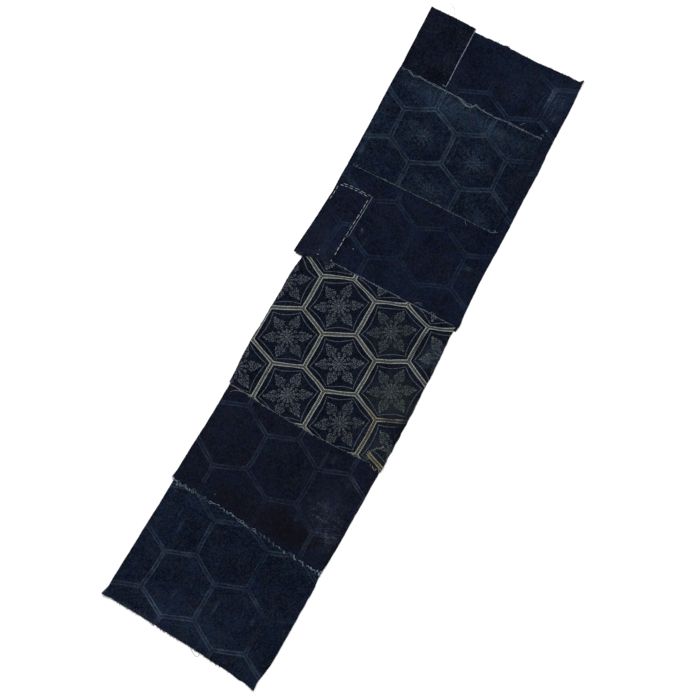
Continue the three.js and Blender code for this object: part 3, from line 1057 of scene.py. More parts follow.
# Places that faded or darkened more than the cloth round them: x, y, reach across and up, amount
SPOTS = {
    "end_cloth": ((-30, 55, 130, 60, 0.2), (60, 70, 90, 60, 0.12), (-150, 200, 30, 60, 0.1),
                  (-105, 204, 5, 42, 0.4), (-55, 86, 4, 18, 0.4), (26, 102, 4, 26, 0.5),
                  (100, 110, 5, 14, 0.5), (-118, 225, 5, 14, 0.4), (10, 205, 200, 60, -0.1)),
    "lower_cloth": ((128, 345, 44, 40, 0.05), (-120, 400, 50, 60, 0.1), (110, 400, 50, 50, 0.1),
                    (135, 290, 34, 34, 0.06), (70, 442, 5, 30, 0.35), (86, 452, 6, 14, 0.35),
                    (120, 364, 22, 9, 0.2), (130, 322, 20, 12, 0.25), (78, 320, 9, 16, 0.25)),
    "long_cloth": ((136, 1240, 40, 64, 0.3), (-30, 1230, 60, 55, -0.05), (161, 1000, 14, 200, 0.08),
                   (-76, 850, 5, 14, 0.5), (128, 884, 12, 10, 0.3)),
    "patterned_cloth": ((146, 716, 22, 44, 0.3), (130, 520, 50, 40, 0.25), (125, 600, 50, 60, 0.25),
                        (169, 575, 9, 80, -0.2)),
    "corner_patch": ((-140, 1250, 40, 40, 0.15),),
    "faded_patch": ((-20, 1134, 170, 30, 0.42), (-154, 1050, 12, 90, 0.2), (-60, 1064, 16, 14, 0.14),
                    (130, 1060, 36, 110, -0.04), (40, 1064, 22, 20, 0.08), (-8, 1060, 6, 40, 0.1),
                    (-150, 985, 9, 12, 0.4), (70, 1066, 26, 10, 0.2), (-20, 1040, 140, 60, -0.06)),
    "pocket_patch": ((-130, 800, 60, 50, 0.15), (-100, 850, 20, 70, 0.1)),
}
# Stains: a colour and its places, each x, y, reach across and up, amount
STAINS = {
    "lower_cloth": (((18, 14, 19), ((60, 292, 80, 40, 0.8), (120, 300, 40, 30, 0.4),
                                    (-45, 292, 64, 34, 0.5))),
                    ((24, 44, 60), ((81, 365, 9, 8, 0.6),))),
    "patterned_cloth": (((38, 43, 42), ((128, 606, 66, 66, 0.6), (66, 700, 50, 56, 0.3),
                                        (146, 500, 44, 34, 0.4))),
                        ((32, 52, 66), ((152, 712, 24, 34, 0.3), (146, 690, 12, 16, 0.3)))),
    "pocket_patch": (((62, 54, 42), ((-158, 760.6, 14, 2.6, 0.5), (-130, 764, 16, 2.6, 0.6),
                                      (-107, 767, 10, 2.6, 0.5))),
                     ((30, 28, 38), ((-150, 790, 40, 50, 0.2),)),
                     ((24, 36, 54), ((-138, 830, 40, 40, 0.3),))),
    "faded_patch": (((30, 30, 40), ((136, 1080, 24, 60, 0.35),)),),
}

# Crease lines: a positive amount is a crease rubbed pale, a negative one a dark line painted as shade along a
# fold: x, y, half their length, slope, thickness, amount
RUBBED_AND_SHADED_CREASES = {
    "end_cloth": ((-10, 239.5, 118, -0.022, 1.5, -0.55), (-60, 205, 70, -0.08, 1.0, 0.1)),
    "faded_patch": ((42, 1098.5, 60, 0.0, 1.2, 0.35), (60, 1108, 60, 0.02, 1.0, 0.2),
                    (40, 1045, 60, 0.01, 1.0, 0.15)),
    "lower_cloth": ((60, 376, 60, -0.2, 1.2, 0.12),),
    "long_cloth": ((126, 889, 10, -0.12, 1.1, 0.9), (60, 785, 30, 0.3, 1.0, 0.2)),
}


SCUFF_TINT = (94, 102, 114)
ARC_TINT = (112, 120, 130)
FLOWER_TINT, AGED_FLOWER_TINT = (122, 130, 140), (114, 122, 112)
AGED_TINT = (146, 138, 114)
CRISP = ("patterned_cloth", "edge_scrap")  # the cloths whose resist is kept


def soften(wires, spots, place, start):
    """start plus the soft spots at a place."""
    total = start
    for x, y, reach_x, reach_y, amount in spots:
        here = wires.group(SPOT, across=place["Across"], up=place["Up"], centre_x=x, centre_y=y,
                           reach_x=reach_x, reach_y=reach_y)
        total = amount * here["Mask"] + total
    return total


def cloth_material(name, number):
    """Indigo cotton for one cloth: ground, resist lattice, wear, weave and its bump."""
    material, wires = new_material(SLOTS[name])
    seed = 11.0 * (1 + number)
    dye = DYES[name]
    place = wires.group(PLACE)
    across, up = place["Across"], place["Up"]
    rim = Number(wires.tree, wires.node("ShaderNodeAttribute", attribute_name="rim").outputs["Fac"])
    uneven = wires.noise(across, up, seed + 18.0, 4.2, detail=3.0)
    fade = soften(wires, SPOTS.get(name, ()), place, 0.0) * uneven.within(0.3, 0.65).mix(0.45, 1.4)
    fade = fade + dye["fade"] + rim * uneven.within(0.35, 0.65) * dye["rim"]
    # Rubbed creases pale the indigo; a negative amount paints shade along a fold as a dark line.
    for x, y, half, slope, thick, amount in RUBBED_AND_SHADED_CREASES.get(name, ()):
        line = wires.group(CREASE, across=across, up=up, centre_x=x, centre_y=y, half_length=half,
                           slope=slope, thickness=thick)
        fade = amount * line["Mask"] + fade
    unevenness = {key: dye[key] for key in ("clouds", "streaks", "mottle", "rubbing", "flecks")}
    ground = wires.group(GROUND, across=across, up=up, seed=seed, deep=colour(*dye["deep"]),
                         faded=colour(*dye["faded"]), fade=fade, **unevenness)
    base = ground["Colour"]
    blotchy = wires.noise(across, up, seed + 19.0, 12, detail=3.0)
    for stain, spots in STAINS.get(name, ()):
        amount = soften(wires, spots, place, 0.0) * blotchy.within(0.3, 0.6).mix(0.35, 1.0)
        base = wires.blend(amount, base, colour(*stain))
    weave = wires.group(WEAVE, across=across, up=up, seed=seed)
    height = weave["Height"]
    if name in LATTICES:
        resist = resist_kept if name in CRISP else resist_worn
        base, relief = resist(wires, name, place, base, seed)
        height = height + relief
    if name in SCUFFS:
        scuffed = wires.group(SCUFF, across=across, up=up, seed=seed,
                              amount=soften(wires, SCUFFS[name], place, 0.0))
        base = wires.blend(scuffed["Mask"], base, colour(*SCUFF_TINT))
    # The weave scales the colour: painted shade in the gaps between threads, and the threads' own slubs.
    shaded = wires.node("ShaderNodeVectorMath", operation="SCALE")
    wires.feed(base, shaded.inputs[0])
    wires.feed(weave["Tone"], shaded.inputs["Scale"])
    rough = wires.noise(across, up, seed + 2.5, 9.0, detail=2.0)
    bump = wires.node("ShaderNodeBump", {"Strength": 0.5, "Distance": 0.00022, "Height": height})
    wires.surface(wires.node("ShaderNodeBsdfPrincipled", {
        "Base Color": shaded.outputs[0], "Roughness": 0.84 + 0.14 * rough,
        "Normal": bump.outputs["Normal"], "Specular IOR Level": 0.03, "Sheen Weight": 0.01,
        "Sheen Roughness": 0.5,
    }))
    return material


def lattice_at(wires, name, place):
    """The cloth's lattice, and the thin arcs and the flower inside its cells."""
    lattice = LATTICES[name]
    across, up = place["Printed Across"], place["Printed Up"]
    for x, y, reach_x, reach_y, left, down in PULLED.get(name, ()):
        pulled = soften(wires, ((x, y, reach_x, reach_y, 1.0),), place, 0.0)
        across = across + left * pulled
        up = up + down * pulled
    centre_x, centre_y = lattice["centre"]
    shape = {key: lattice.get(key, 0.0) for key in LATTICE_SHAPE}
    found = wires.group(LATTICE, across=across, up=up, centre_x=centre_x, centre_y=centre_y, **shape)
    arcs = wires.group(ARCS, side_gap=found["Side Gap"], slant_gap=found["Slant Gap"],
                       cell_y=found["Cell Y"], slant_along=found["Slant Along"])
    stray_x = wires.sway(place["Across"], place["Up"], 33.3, 3.4, 3.4)
    stray_y = wires.sway(place["Across"], place["Up"], 41.7, 3.4, 3.4)
    flower = wires.group(FLOWER, cell_x=found["Cell X"] + stray_x, cell_y=found["Cell Y"] + stray_y)
    return found, arcs["Mask"], flower["Mask"]


def resist_worn(wires, name, place, base, seed):
    """A lattice worn almost into the ground; returns the colour and a little relief."""
    lattice = LATTICES[name]
    found, arcs, flower = lattice_at(wires, name, place)
    across, up = place["Across"], place["Up"]
    patchy = wires.noise(across, up, seed + 12.0, 34, detail=2.0)
    broken = wires.noise(across, up, seed + 14.0, 3.6, detail=2.0)
    showing = soften(wires, SHOWING[name], place, lattice["strength"])
    showing = showing.most(0.02) * patchy.within(0.3, 0.62).mix(0.4, 1.3)
    showing = showing * broken.within(0.3, 0.65).mix(0.35, 1.4)
    blur = wires.noise(across, up, seed + 21.0, 24, detail=2.0).within(0.4, 0.72)
    blur = soften(wires, BLURRED.get(name, ()), place, blur).least(1.2)
    band = wires.group(FAINT, distance=found["Distance"], blur=blur, strength=showing)
    mask = band["Mask"]
    if name in GHOSTS:
        ghost = soften(wires, GHOSTS[name], place, 0.0)
        mask = mask.most(flower.most(arcs) * ghost * broken.within(0.3, 0.6))
    return wires.blend(mask.least(1.0), base, colour(*lattice["tint"])), mask * 0.15


def resist_kept(wires, name, place, base, seed):
    """The lattice still crisp: ladder bands, arcs and a flower in each cell."""
    found, arcs, flower = lattice_at(wires, name, place)
    across, up = place["Across"], place["Up"]
    broken = wires.noise(across, up, seed + 14.0, 3.2, detail=2.0)
    speckle = wires.noise(across, up, seed + 15.0, 1.8, detail=1.0)
    worn = wires.noise(across, up, seed + 12.0, 26, detail=3.0)
    kept = 1 - soften(wires, LOST[name], place, 0.0).least(1.0)
    band = wires.group(LADDER, distance=found["Distance"], along=found["Along"], breaks=broken)
    cream = band["Mask"] * worn.within(0.2, 0.55).mix(0.55, 1.0) * kept
    pale = arcs * broken.within(0.3, 0.62).mix(0.3, 1.0) * speckle.within(0.3, 0.6).mix(0.6, 1.0)
    pale = pale * 0.78 * kept
    showing = soften(wires, SHOWING.get(name, ()), place, 1.0)
    grey = flower * speckle.within(0.36, 0.64).mix(0.12, 1.3) * worn.within(0.25, 0.6).mix(0.65, 1.0)
    grey = (grey * showing * kept).least(1.0)
    yellowed = soften(wires, YELLOWED, place, 0.0)
    tint = wires.blend(yellowed, colour(*LATTICES[name]["tint"]), colour(*AGED_TINT))
    aged = across.within(40, 120) * 0.7
    bloom = wires.blend(aged, colour(*FLOWER_TINT), colour(*AGED_FLOWER_TINT))
    base = wires.blend(grey, base, bloom)
    base = wires.blend(pale, base, colour(*ARC_TINT))
    base = wires.blend(cream, base, tint)
    return base, cream.most(grey * 0.6) * 0.3


MATERIALS = {name: cloth_material(name, number) for number, name in enumerate(STACK)}

# --- Yarns and stitches ---------------------------------------------------------------------


def yarn_material(name, pale, dark, pitch):
    """Twisted cotton yarn, uneven in colour along its length, with painted shade in the grooves of its twist.
    """
    material, wires = new_material(name)
    uv = wires.node("ShaderNodeUVMap", uv_map="strand").outputs["UV"]
    length, turn, _ = wires.split(uv)
    ply = wires.group(TWIST, length=length, turn=turn, pitch=pitch)["Ply"]
    place = wires.group(PLACE)
    uneven = wires.noise(place["Across"], place["Up"], 4.4, 5.0, detail=2.0).within(0.3, 0.68)
    fluff = wires.noise(place["Across"], place["Up"], 7.7, 0.35, detail=1.0)
    # The ply's grooves are painted darker as shade and its crowns lighter; uneven and fluff are the yarn's
    # own colour.
    shade = (uneven * 0.75 + ply * 0.25) * fluff.mix(0.7, 1.2)
    bump = wires.node("ShaderNodeBump", {"Strength": 0.6, "Distance": 0.0002, "Height": ply + fluff})
    wires.surface(wires.node("ShaderNodeBsdfPrincipled", {
        "Base Color": wires.blend(shade, colour(*dark), colour(*pale)),
        "Roughness": 0.85 + 0.1 * fluff, "Normal": bump.outputs["Normal"],
        "Specular IOR Level": 0.1, "Sheen Weight": 0.05,
    }))
    return material


class Strands:
    """Gathers round strands and makes them one piece."""

    def __init__(self, sides=5):
        self.sides = sides
        self.points = []
        self.faces = []
        self.uv = []
        self.count = 0

    def add(self, path, radius, tip):
        """A strand along path, an (n, 3) array in mm; tip is how thin its two ends are."""
        path = np.asarray(path, float)
        ahead = np.gradient(path, axis=0)
        ahead /= np.linalg.norm(ahead, axis=1)[:, None] + 1e-9
        side = np.cross(ahead, (0, 0, 1.0))
        side /= np.linalg.norm(side, axis=1)[:, None] + 1e-9
        up = np.cross(side, ahead)
        run = np.concatenate(([0], np.cumsum(np.linalg.norm(np.diff(path, axis=0), axis=1))))
        share = run / run[-1]
        thick = radius * (tip + (1 - tip) * np.clip(4 * np.minimum(share, 1 - share), 0, 1))
        turn = np.arange(self.sides) / self.sides * 2 * np.pi
        ring = (
            path[:, None, :]
            + thick[:, None, None] * np.cos(turn)[None, :, None] * side[:, None, :]
            + thick[:, None, None] * np.sin(turn)[None, :, None] * up[:, None, :]
        )
        n, k = len(path), self.sides
        base = self.count
        self.points.append(ring.reshape(-1, 3))
        for i in range(n - 1):
            for j in range(k):
                a, b = base + i * k + j, base + i * k + (j + 1) % k
                self.faces.append((a, b, b + k, a + k))
                low, high = j / k, (j + 1) / k
                self.uv += [(run[i], low), (run[i], high), (run[i + 1], high), (run[i + 1], low)]
        for end, order in ((0, range(k - 1, -1, -1)), (n - 1, range(k))):
            self.faces.append(tuple(base + end * k + j for j in order))
            self.uv += [(run[end], 0.0)] * k
        self.count += n * k

    def piece(self, name, material):
        made = as_object(name, np.concatenate(self.points), self.faces, material, uv=self.uv)
        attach(made, "root")


def smooth_path(corners, step):
    """Points about step apart on a smooth line through the corners."""
    corners = np.asarray(corners, float)
    run = np.concatenate(([0], np.cumsum(np.linalg.norm(np.diff(corners, axis=0), axis=1))))
    at = np.linspace(0, run[-1], max(3, round(run[-1] / step) + 1))
    before, after = 2 * corners[0] - corners[1], 2 * corners[-1] - corners[-2]
    padded = np.concatenate(([before], corners, [after]))
    i = np.clip(np.searchsorted(run, at) - 1, 0, len(corners) - 2)
    s = ((at - run[i]) / (run[i + 1] - run[i]))[:, None]
    p0, p1, p2, p3 = padded[i], padded[i + 1], padded[i + 2], padded[i + 3]
    square, cube = 2 * p0 - 5 * p1 + 4 * p2 - p3, 3 * p1 - p0 - 3 * p2 + p3
    return 0.5 * (2 * p1 + (p2 - p0) * s + square * s**2 + cube * s**3)


def lay_yarn(strands, corners, radius, tip=0.6, lift=0.0, step=1.5):
    """A loose yarn lying over whatever is beneath it, through corners (x, y)."""
    flat = smooth_path(corners, step)
    z = top_of_all(flat[:, 0], flat[:, 1]) + radius + lift
    strands.add(np.column_stack((flat, z)), radius, tip)


def stitch(strands, ax, ay, bx, by, radius, sink=0.5, bow=0.0):
    """One stitch on the surface from a to b, going down through the cloth at both ends; bow is how
    far its middle lies aside."""
    share = np.array([0.0, 0.12, 0.32, 0.5, 0.68, 0.88, 1.0])
    length = math.hypot(bx - ax, by - ay)
    aside = 4 * bow * share * (1 - share)
    x = ax + (bx - ax) * share - (by - ay) / length * aside
    y = ay + (by - ay) * share + (bx - ax) / length * aside
    rise = np.array([-sink, 0.35, 1.0, 1.15, 1.0, 0.35, -sink]) * radius
    strands.add(np.column_stack((x, y, top_of_all(x, y) + rise)), radius, 0.7)


rng = np.random.default_rng(20)


def knot(strands, x, y, size, count):
    """A small knot: short crossed turns of yarn."""
    for _ in range(count):
        angle = rng.uniform(0, math.pi)
        dx, dy = size * math.cos(angle), size * math.sin(angle)
        mid_x, mid_y = np.array((x, y)) + rng.uniform(-0.5, 0.5, 2) * size
        stitch(strands, mid_x - dx, mid_y - dy, mid_x + dx, mid_y + dy, 0.5, 0.1)


# How bright the overcast stitches are: up to this x, the share that is pale
WHIP_BRIGHT = ((-118, 0.8), (-84, 0.3), (12, 0.75), (110, 0.45), (170, 0.9))
WHIP_KNOTS = ((-162, 277, 1.3), (-148.5, 267.8, 2.0), (160, 254, 1.8), (165, 250.5, 1.9),
              (167.2, 255.5, 1.9))


def whip_the_seam():
    """Slanted overcast stitches that hold the lower cloth's edge down on the end cloth."""
    pale, dim = Strands(), Strands()
    x = -160.0
    while x < 167:
        edge = float(edge_height("lower_cloth", 0, x))
        share = next(bright for stop, bright in WHIP_BRIGHT if x <= stop)
        middle = edge - rng.uniform(2.2, 5.8)
        kind = rng.random()
        if x < 20 and kind < 0.3:
            # a slack stitch that lies as a loop
            turn = np.linspace(rng.uniform(0, 3), rng.uniform(7, 8.5), 9)
            wide, high = rng.uniform(2.2, 3.4), rng.uniform(1.9, 2.8)
            ring = np.column_stack((x + wide * np.cos(turn), middle + high * np.sin(turn)))
            lay_yarn(pale if rng.random() < share else dim, ring, 0.5, 0.7, 0.1, 0.9)
            x += rng.uniform(5.4, 7.4)
            continue
        tight = x < -20
        length = rng.uniform(4.5, 8.0) if tight else rng.uniform(6.0, 10.5)
        slant = math.radians(rng.uniform(10, 66) if kind < 0.86 else rng.uniform(-50, 5))
        half_x, half_y = length / 2 * math.cos(slant), length / 2 * math.sin(slant)
        bow = rng.uniform(-2.2, 2.2)
        bright = rng.random() < share
        for strand in range(3 if rng.random() < 0.6 else 2):
            aside = (strand - 0.8) * 0.85 + rng.uniform(-0.3, 0.3)
            turn = rng.uniform(-0.8, 0.8)
            target = pale if bright and rng.random() < 0.85 else dim
            mid_x, mid_y = x + aside, middle + aside * 0.6
            stitch(target, mid_x - half_x, mid_y + half_y + turn, mid_x + half_x,
                   mid_y - half_y - turn, rng.uniform(0.36, 0.56), 0.2, bow)
        x += rng.uniform(5.4, 9.0) if tight else rng.uniform(6.5, 11.5)
    for knot_x, knot_y, size in WHIP_KNOTS:
        knot(pale, knot_x, knot_y, size, 8)
    pale.piece("whip_stitches", YARNS["stitch_pale"])
    dim.piece("whip_stitches_blue", YARNS["stitch_blue"])


def run_stitches(strands, corners, length, gap, radius):
    """Running stitches along a line of corners."""
    line = smooth_path(corners, 1.0)
    run = np.concatenate(([0], np.cumsum(np.linalg.norm(np.diff(line, axis=0), axis=1))))
    at = rng.uniform(0, gap)
    while at + length * 0.6 < run[-1]:
        end = min(run[-1], at + length * rng.uniform(0.8, 1.2))
        ax, bx = np.interp((at, end), run, line[:, 0]) + rng.uniform(-0.25, 0.25, 2)
        ay, by = np.interp((at, end), run, line[:, 1]) + rng.uniform(-0.25, 0.25, 2)
        stitch(strands, ax, ay, bx, by, radius * rng.uniform(0.9, 1.15))
        at = end + gap * rng.uniform(0.7, 1.4)


def sew_the_pocket():
    """White running stitches and a couched thread round the pocket patch's top and side edges."""
    white = Strands()
    top = [(-155.5, 908.6), (-140, 911.6), (-122, 913.0), (-95, 914.2)]
    top_edge = [(-150, 913.6), (-134, 916.2), (-116, 917.0), (-90, 917.6)]
    right = [(-94.2, 910), (-96.0, 868), (-98.0, 834), (-99.3, 784)]
    left = [(-156.3, 907), (-157.0, 890), (-158.4, 871)]
    run_stitches(white, top, 6.8, 3.0, 0.6)
    run_stitches(white, top_edge, 8.5, 3.4, 0.46)
    run_stitches(white, right, 8.8, 2.4, 0.66)
    run_stitches(white, left, 7.6, 2.4, 0.62)
    couched = [(-89.8, 918.0), (-91.2, 880), (-92.2, 858), (-93.4, 836), (-96.0, 828)]
    lay_yarn(white, couched, 0.36)
    white.piece("pocket_stitches", YARNS["stitch_white"])


def fray(strands, name, end, start, stop, per_mm, reach, radius):
    """Short fibres that stand out of a cut edge."""
    outward = 1 if end else -1
    for _ in range(round((stop - start) * per_mm)):
        x = fray_rng.uniform(start, stop)
        edge = float(edge_height(name, end, x))
        length = reach * fray_rng.uniform(0.3, 1.0) ** 1.4
        tip_x = x + fray_rng.normal(0, 0.45) * length
        tip_y = edge + outward * length
        bent = (x + tip_x) / 2 + fray_rng.normal(0, 0.35), (edge + tip_y) / 2
        fibre = [(x, edge - outward * 1.2), bent, (tip_x, tip_y)]
        lay_yarn(strands, fibre, radius * fray_rng.uniform(0.7, 1.3), tip=0.5, step=1.1)


def edge_yarn(strands, name, end, start, stop, offset, radius, seed, drift=0.5):
    """The last yarn of a cut edge, lying along it."""
    x = np.arange(start, stop, 2.2)
    stray = drift * wander(x, 5, seed) + drift * wander(x, 17, seed + 1)
    y = edge_height(name, end, x) + offset + stray
    strands.add(np.column_stack((x, y, top_of_all(x, y) + radius)), radius, 0.5)


def lay_all(strands, paths, radius, tip=0.5):
    """Several loose yarns of one thickness."""
    for path in paths:
        lay_yarn(strands, path, radius, tip, lift=0.1, step=1.2)


def specks(strands, spots):
    """Small bits of lint, each a tangle of short fibres."""
    size = 0.8
    for x, y in spots:
        for _ in range(3):
            angle = rng.uniform(0, math.pi)
            dx, dy = size * math.cos(angle), size * math.sin(angle)
            fibre = [(x - dx, y - dy), (x + 0.2, y + 0.2), (x + dx, y + dy)]
            lay_yarn(strands, fibre, 0.34, 0.6, 0.1, 0.6)


# Where overcasting holds the scrap's torn left edge, and the lines' feet at the patterned
# cloth's lower edge, whose cream yarns spread
SCRAP_STITCHES = ((136.4, 497.6), (138.4, 500.4), (140.8, 503.2), (143.4, 506.2), (146.4, 509.2),
                  (149.4, 511.8), (152.4, 514.4), (155, 517))
LINE_FEET = (-103.6, 7.4, 118.2)
KNOTS = ((135.5, 1184, 1.2), (-74.5, 815, 0.9), (-128, 774, 1.1), (-100, 775.6, 1.1))


def details():
    """Selvedge yarn, tufts, knots and loose ends, as they lie on the seams and edges."""
    # The corner patch's selvedge, hooked at its foot
    selvedge = ((-73.0, 1286.4), (-72.2, 1262), (-71.6, 1240), (-71.4, 1214), (-70.0, 1190),
                (-69.8, 1166))
    for aside in (-0.3, 0.3):
        hook = [(-72.6, 1164.6), (-77, 1165.4 + aside)]
        lay_all(pale_fibres, [[(x + aside, y) for x, y in selvedge] + hook], 0.4, 0.8)
    # The faded patch's top edge: a pulled yarn and its tuft
    lay_all(faded_fibres, [
        [(-56, 1158.0), (-42, 1158.6), (-33, 1158), (-29, 1154.4), (-22, 1152.5), (-14, 1153), (-9, 1155),
         (-6, 1158), (-5, 1162.5), (-1.5, 1164), (0, 1161), (-1, 1157)],
        [(-50, 1158.6), (-38, 1157.5), (-30, 1154.4), (-20, 1151.4), (-10, 1153.6), (-3, 1160)],
        [(-36, 1156), (-28, 1158), (-20, 1156.5), (-12, 1158.4), (-8, 1152)],
        [(-24, 1150), (-18, 1154), (-11, 1151), (-7, 1147)],
        [(-146, 1157.6), (-138, 1154.2), (-130, 1153.4), (-122, 1156.5), (-112, 1157)],
        [(-104, 1158), (-84, 1159.2), (-66, 1158.4)],
        [(58, 1163), (76, 1164.6), (92, 1164), (110, 1166)],
        [(87, 1169.5), (90, 1174), (94, 1178.5)],
        [(130, 1171), (133.5, 1174.5), (135, 1171)],
    ], 0.36)
    # The faded patch's bottom seam: a thin thread, knots and tails
    lay_all(faded_fibres, [
        [(-148, 959), (-151, 955), (-147, 952), (-143, 955.5), (-147, 957)],
        [(138, 971), (143, 974), (139, 968), (134, 966.5), (129, 969)],
        [(139, 969), (145, 971.5), (149, 976)],
        [(83, 964.5), (86, 959.6), (90, 957)],
        [(-90, 955), (-84, 958), (-79, 955.5)],
        [(20, 961.6), (26, 964.8), (31, 962)],
    ], 0.34)
    # Loose ends off the corners
    lay_all(faded_fibres, [
        [(-24.4, 1284), (-24.2, 1288), (-24.8, 1291.4)],
        [(-120.5, 1287.5), (-121.5, 1291), (-123.3, 1296.9), (-128.1, 1301.7), (-138.1, 1306),
         (-142, 1310)],
        [(-8, 1284), (-5, 1288.4), (0, 1287), (3, 1283.6)],
        [(19.8, 13.7), (27, 8.4), (35.1, 4.1), (40.5, 5.1), (41.7, 11.8)],
        [(-156, 273.5), (-149, 277), (-141, 270), (-134, 276.5), (-126, 269.5), (-117, 277),
         (-108, 270)],
    ], 0.34)
    lay_all(indigo_fibres, [
        [(148.4, 1292), (150.0, 1297), (150.8, 1300.5)],
        [(146.0, 1292), (149.0, 1296.5), (151.5, 1299.5)],
        [(151.0, 1290), (151.4, 1295), (150.6, 1299)],
    ], 0.36)
    # Fluff and thread ends on the long cloth, above its seam with the patterned one
    lay_all(faded_fibres, [
        [(130, 888), (136, 890), (141, 888.4)],
        [(128, 885.4), (133, 886), (138, 884.6)],
        [(72, 779.5), (77, 783.6), (82, 786.4), (87, 787.6), (91.5, 783.5)],
        [(76, 781), (83, 784.4), (88, 783.6)],
        [(110, 779), (113, 783.5), (117, 781.5), (121, 784)],
    ], 0.28)
    # Cream yarns pulled at the patterned cloth's lower edge and overcast on its left one
    lay_all(cream_fibres, [
        [(-155, 481.6), (-148, 481.0), (-138, 481.6), (-128, 479.6)],
        [(-108, 481.6), (-121, 480.6), (-131, 479.0), (-140, 475), (-147, 469)],
        [(154, 476.4), (157.5, 473.2), (161.5, 471.0), (164.2, 473.4)],
        [(165, 477.4), (168.4, 475.2), (172, 474.4)],
        [(166, 480), (170, 477.8), (172.6, 477.4)],
        [(-151.8, 692), (-153.6, 689), (-152.0, 686)],
        [(-153.4, 684), (-154.2, 680), (-152.8, 676)],
        [(-153.8, 674), (-155.0, 671), (-153.4, 668)],
        [(-155.2, 652), (-156.6, 649)],
        [(-157.4, 612), (-158.8, 608)],
    ], 0.36)
    # Overcasting along the scrap's torn left edge, and its frayed end
    for x, y in SCRAP_STITCHES:
        angle = rng.uniform(-0.5, 1.2)
        dx, dy = 1.5 * math.cos(angle), 1.5 * math.sin(angle)
        lay_yarn(cream_fibres, [(x - dx, y + dy), (x, y), (x + dx, y - dy)], 0.46, 0.7, 0.1, 0.8)
    lay_all(cream_fibres, [
        [(141, 497.5), (137, 497.2), (133.6, 498.6)],
        [(141, 494.5), (136, 494.0), (132.4, 494.6)],
        [(142, 491.0), (137, 489.8), (133.0, 490.4)],
        [(143, 488.2), (138, 486.6), (134.6, 485.2)],
        [(144, 486.0), (140, 483.6), (137.6, 481.0)],
    ], 0.4)
    for foot in LINE_FEET:
        edge = float(edge_height("patterned_cloth", 0, foot))
        for side in (-1, 1):
            for spread, drop in ((6.5, 1.2), (8.5, 0.4)):
                steps = ((2.9, 4.2), (3.5, 1.8), (spread * 0.75, 0.6), (spread, -drop))
                yarn = [(foot + side * out, edge + up) for out, up in steps]
                lay_yarn(cream_fibres, yarn, 0.4, 0.6, 0.1, 1.0)
    for knot_x, knot_y, size in KNOTS:
        knot(pale_fibres, knot_x, knot_y, size, 7)
    specks(pale_fibres, ((-77, 853), (-79, 856), (-129, 783), (-78, 287), (-99.6, 848)))
    specks(faded_fibres, ((-150, 985), (-149, 1012), (-60, 1064), (26, 104), (27, 96), (-54, 86),
                          (100, 112), (121, 361), (130, 320), (78, 318), (64, 366), (150, 352)))


YARNS = {
    "stitch_white": yarn_material("white_stitching", (176, 186, 192), (96, 108, 120), 1.3),
    "stitch_pale": yarn_material("pale_whipping", (132, 150, 166), (62, 78, 96), 1.3),
    "stitch_blue": yarn_material("blue_whipping", (84, 104, 126), (34, 46, 64), 1.3),
    "pale": yarn_material("pale_yarn", (150, 160, 176), (86, 98, 116), 1.1),
    "cream": yarn_material("cream_yarn", (172, 170, 156), (92, 94, 90), 1.1),
    "faded": yarn_material("faded_yarn", (122, 138, 148), (56, 70, 84), 1.1),
    "indigo": yarn_material("indigo_yarn", (44, 56, 74), (14, 19, 32), 1.0),
}

for name in STACK:
    across, up = GRIDS[name]
    cloth, flat_size, flat_area = thin_sheet(
        name + "_laid", across, up, cloth_top(name, across, up), SHEET, MATERIALS[name]
    )
    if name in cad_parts:
        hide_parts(name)

whip_the_seam()
sew_the_pocket()

indigo_fibres = Strands(sides=4)
faded_fibres = Strands(sides=4)
cream_fibres = Strands(sides=4)
pale_fibres = Strands(sides=4)
fray_rng = np.random.default_rng(33)
# Frayed edges: yarns, cloth, end, from and to which x, fibres to the mm, their reach and radius
for fringe in (
    (indigo_fibres, "end_cloth", 0, -171, 161, 0.55, 3.2, 0.2),
    (pale_fibres, "end_cloth", 0, -171, -90, 0.5, 3.4, 0.24),
    (faded_fibres, "end_cloth", 0, -130, 60, 0.4, 3.6, 0.2),
    (indigo_fibres, "long_cloth", -1, -70, 149, 0.45, 2.2, 0.2),
    (indigo_fibres, "corner_patch", -1, -163, -74, 0.4, 2.0, 0.2),
    (faded_fibres, "faded_patch", -1, -159, 136, 0.6, 3.6, 0.2),
    (faded_fibres, "faded_patch", 0, -157, 142, 0.25, 2.2, 0.2),
    (faded_fibres, "patterned_cloth", 0, -154, 150, 0.5, 3.4, 0.22),
    (cream_fibres, "edge_scrap", 0, 149, 172, 0.8, 3.0, 0.24),
    (pale_fibres, "patterned_cloth", -1, -96, 162, 0.3, 2.8, 0.2),
    (indigo_fibres, "pocket_patch", 0, -168, -100, 0.8, 3.2, 0.22),
):
    fray(*fringe)
# Yarns along edges: yarns, cloth, end, from and to which x, offset, radius, seed and drift
for last_yarn in (
    (pale_fibres, "faded_patch", -1, -158, 134, 0.2, 0.24, 5),
    (faded_fibres, "faded_patch", -1, -158, 134, -0.5, 0.26, 15, 0.8),
    (faded_fibres, "faded_patch", 0, -150, 140, -0.2, 0.27, 6, 0.25),
    (faded_fibres, "patterned_cloth", 0, -154, 150, -0.3, 0.28, 7),
    (pale_fibres, "patterned_cloth", -1, -98, 162, 0.3, 0.3, 8, 0.3),
):
    edge_yarn(*last_yarn)
details()
indigo_fibres.piece("indigo_fibres", YARNS["indigo"])
faded_fibres.piece("faded_fibres", YARNS["faded"])
cream_fibres.piece("cream_fibres", YARNS["cream"])
pale_fibres.piece("pale_fibres", YARNS["pale"])

# --- Table, light and camera ----------------------------------------------------------------


TABLE_HALF = 3.0
LAMP_PLACE = Vector((-1.7, 1.5, 2.4))
LAMP_SIDE = 1.6
LAMP_POWER = 60
ROOM_LIGHT = 0.62


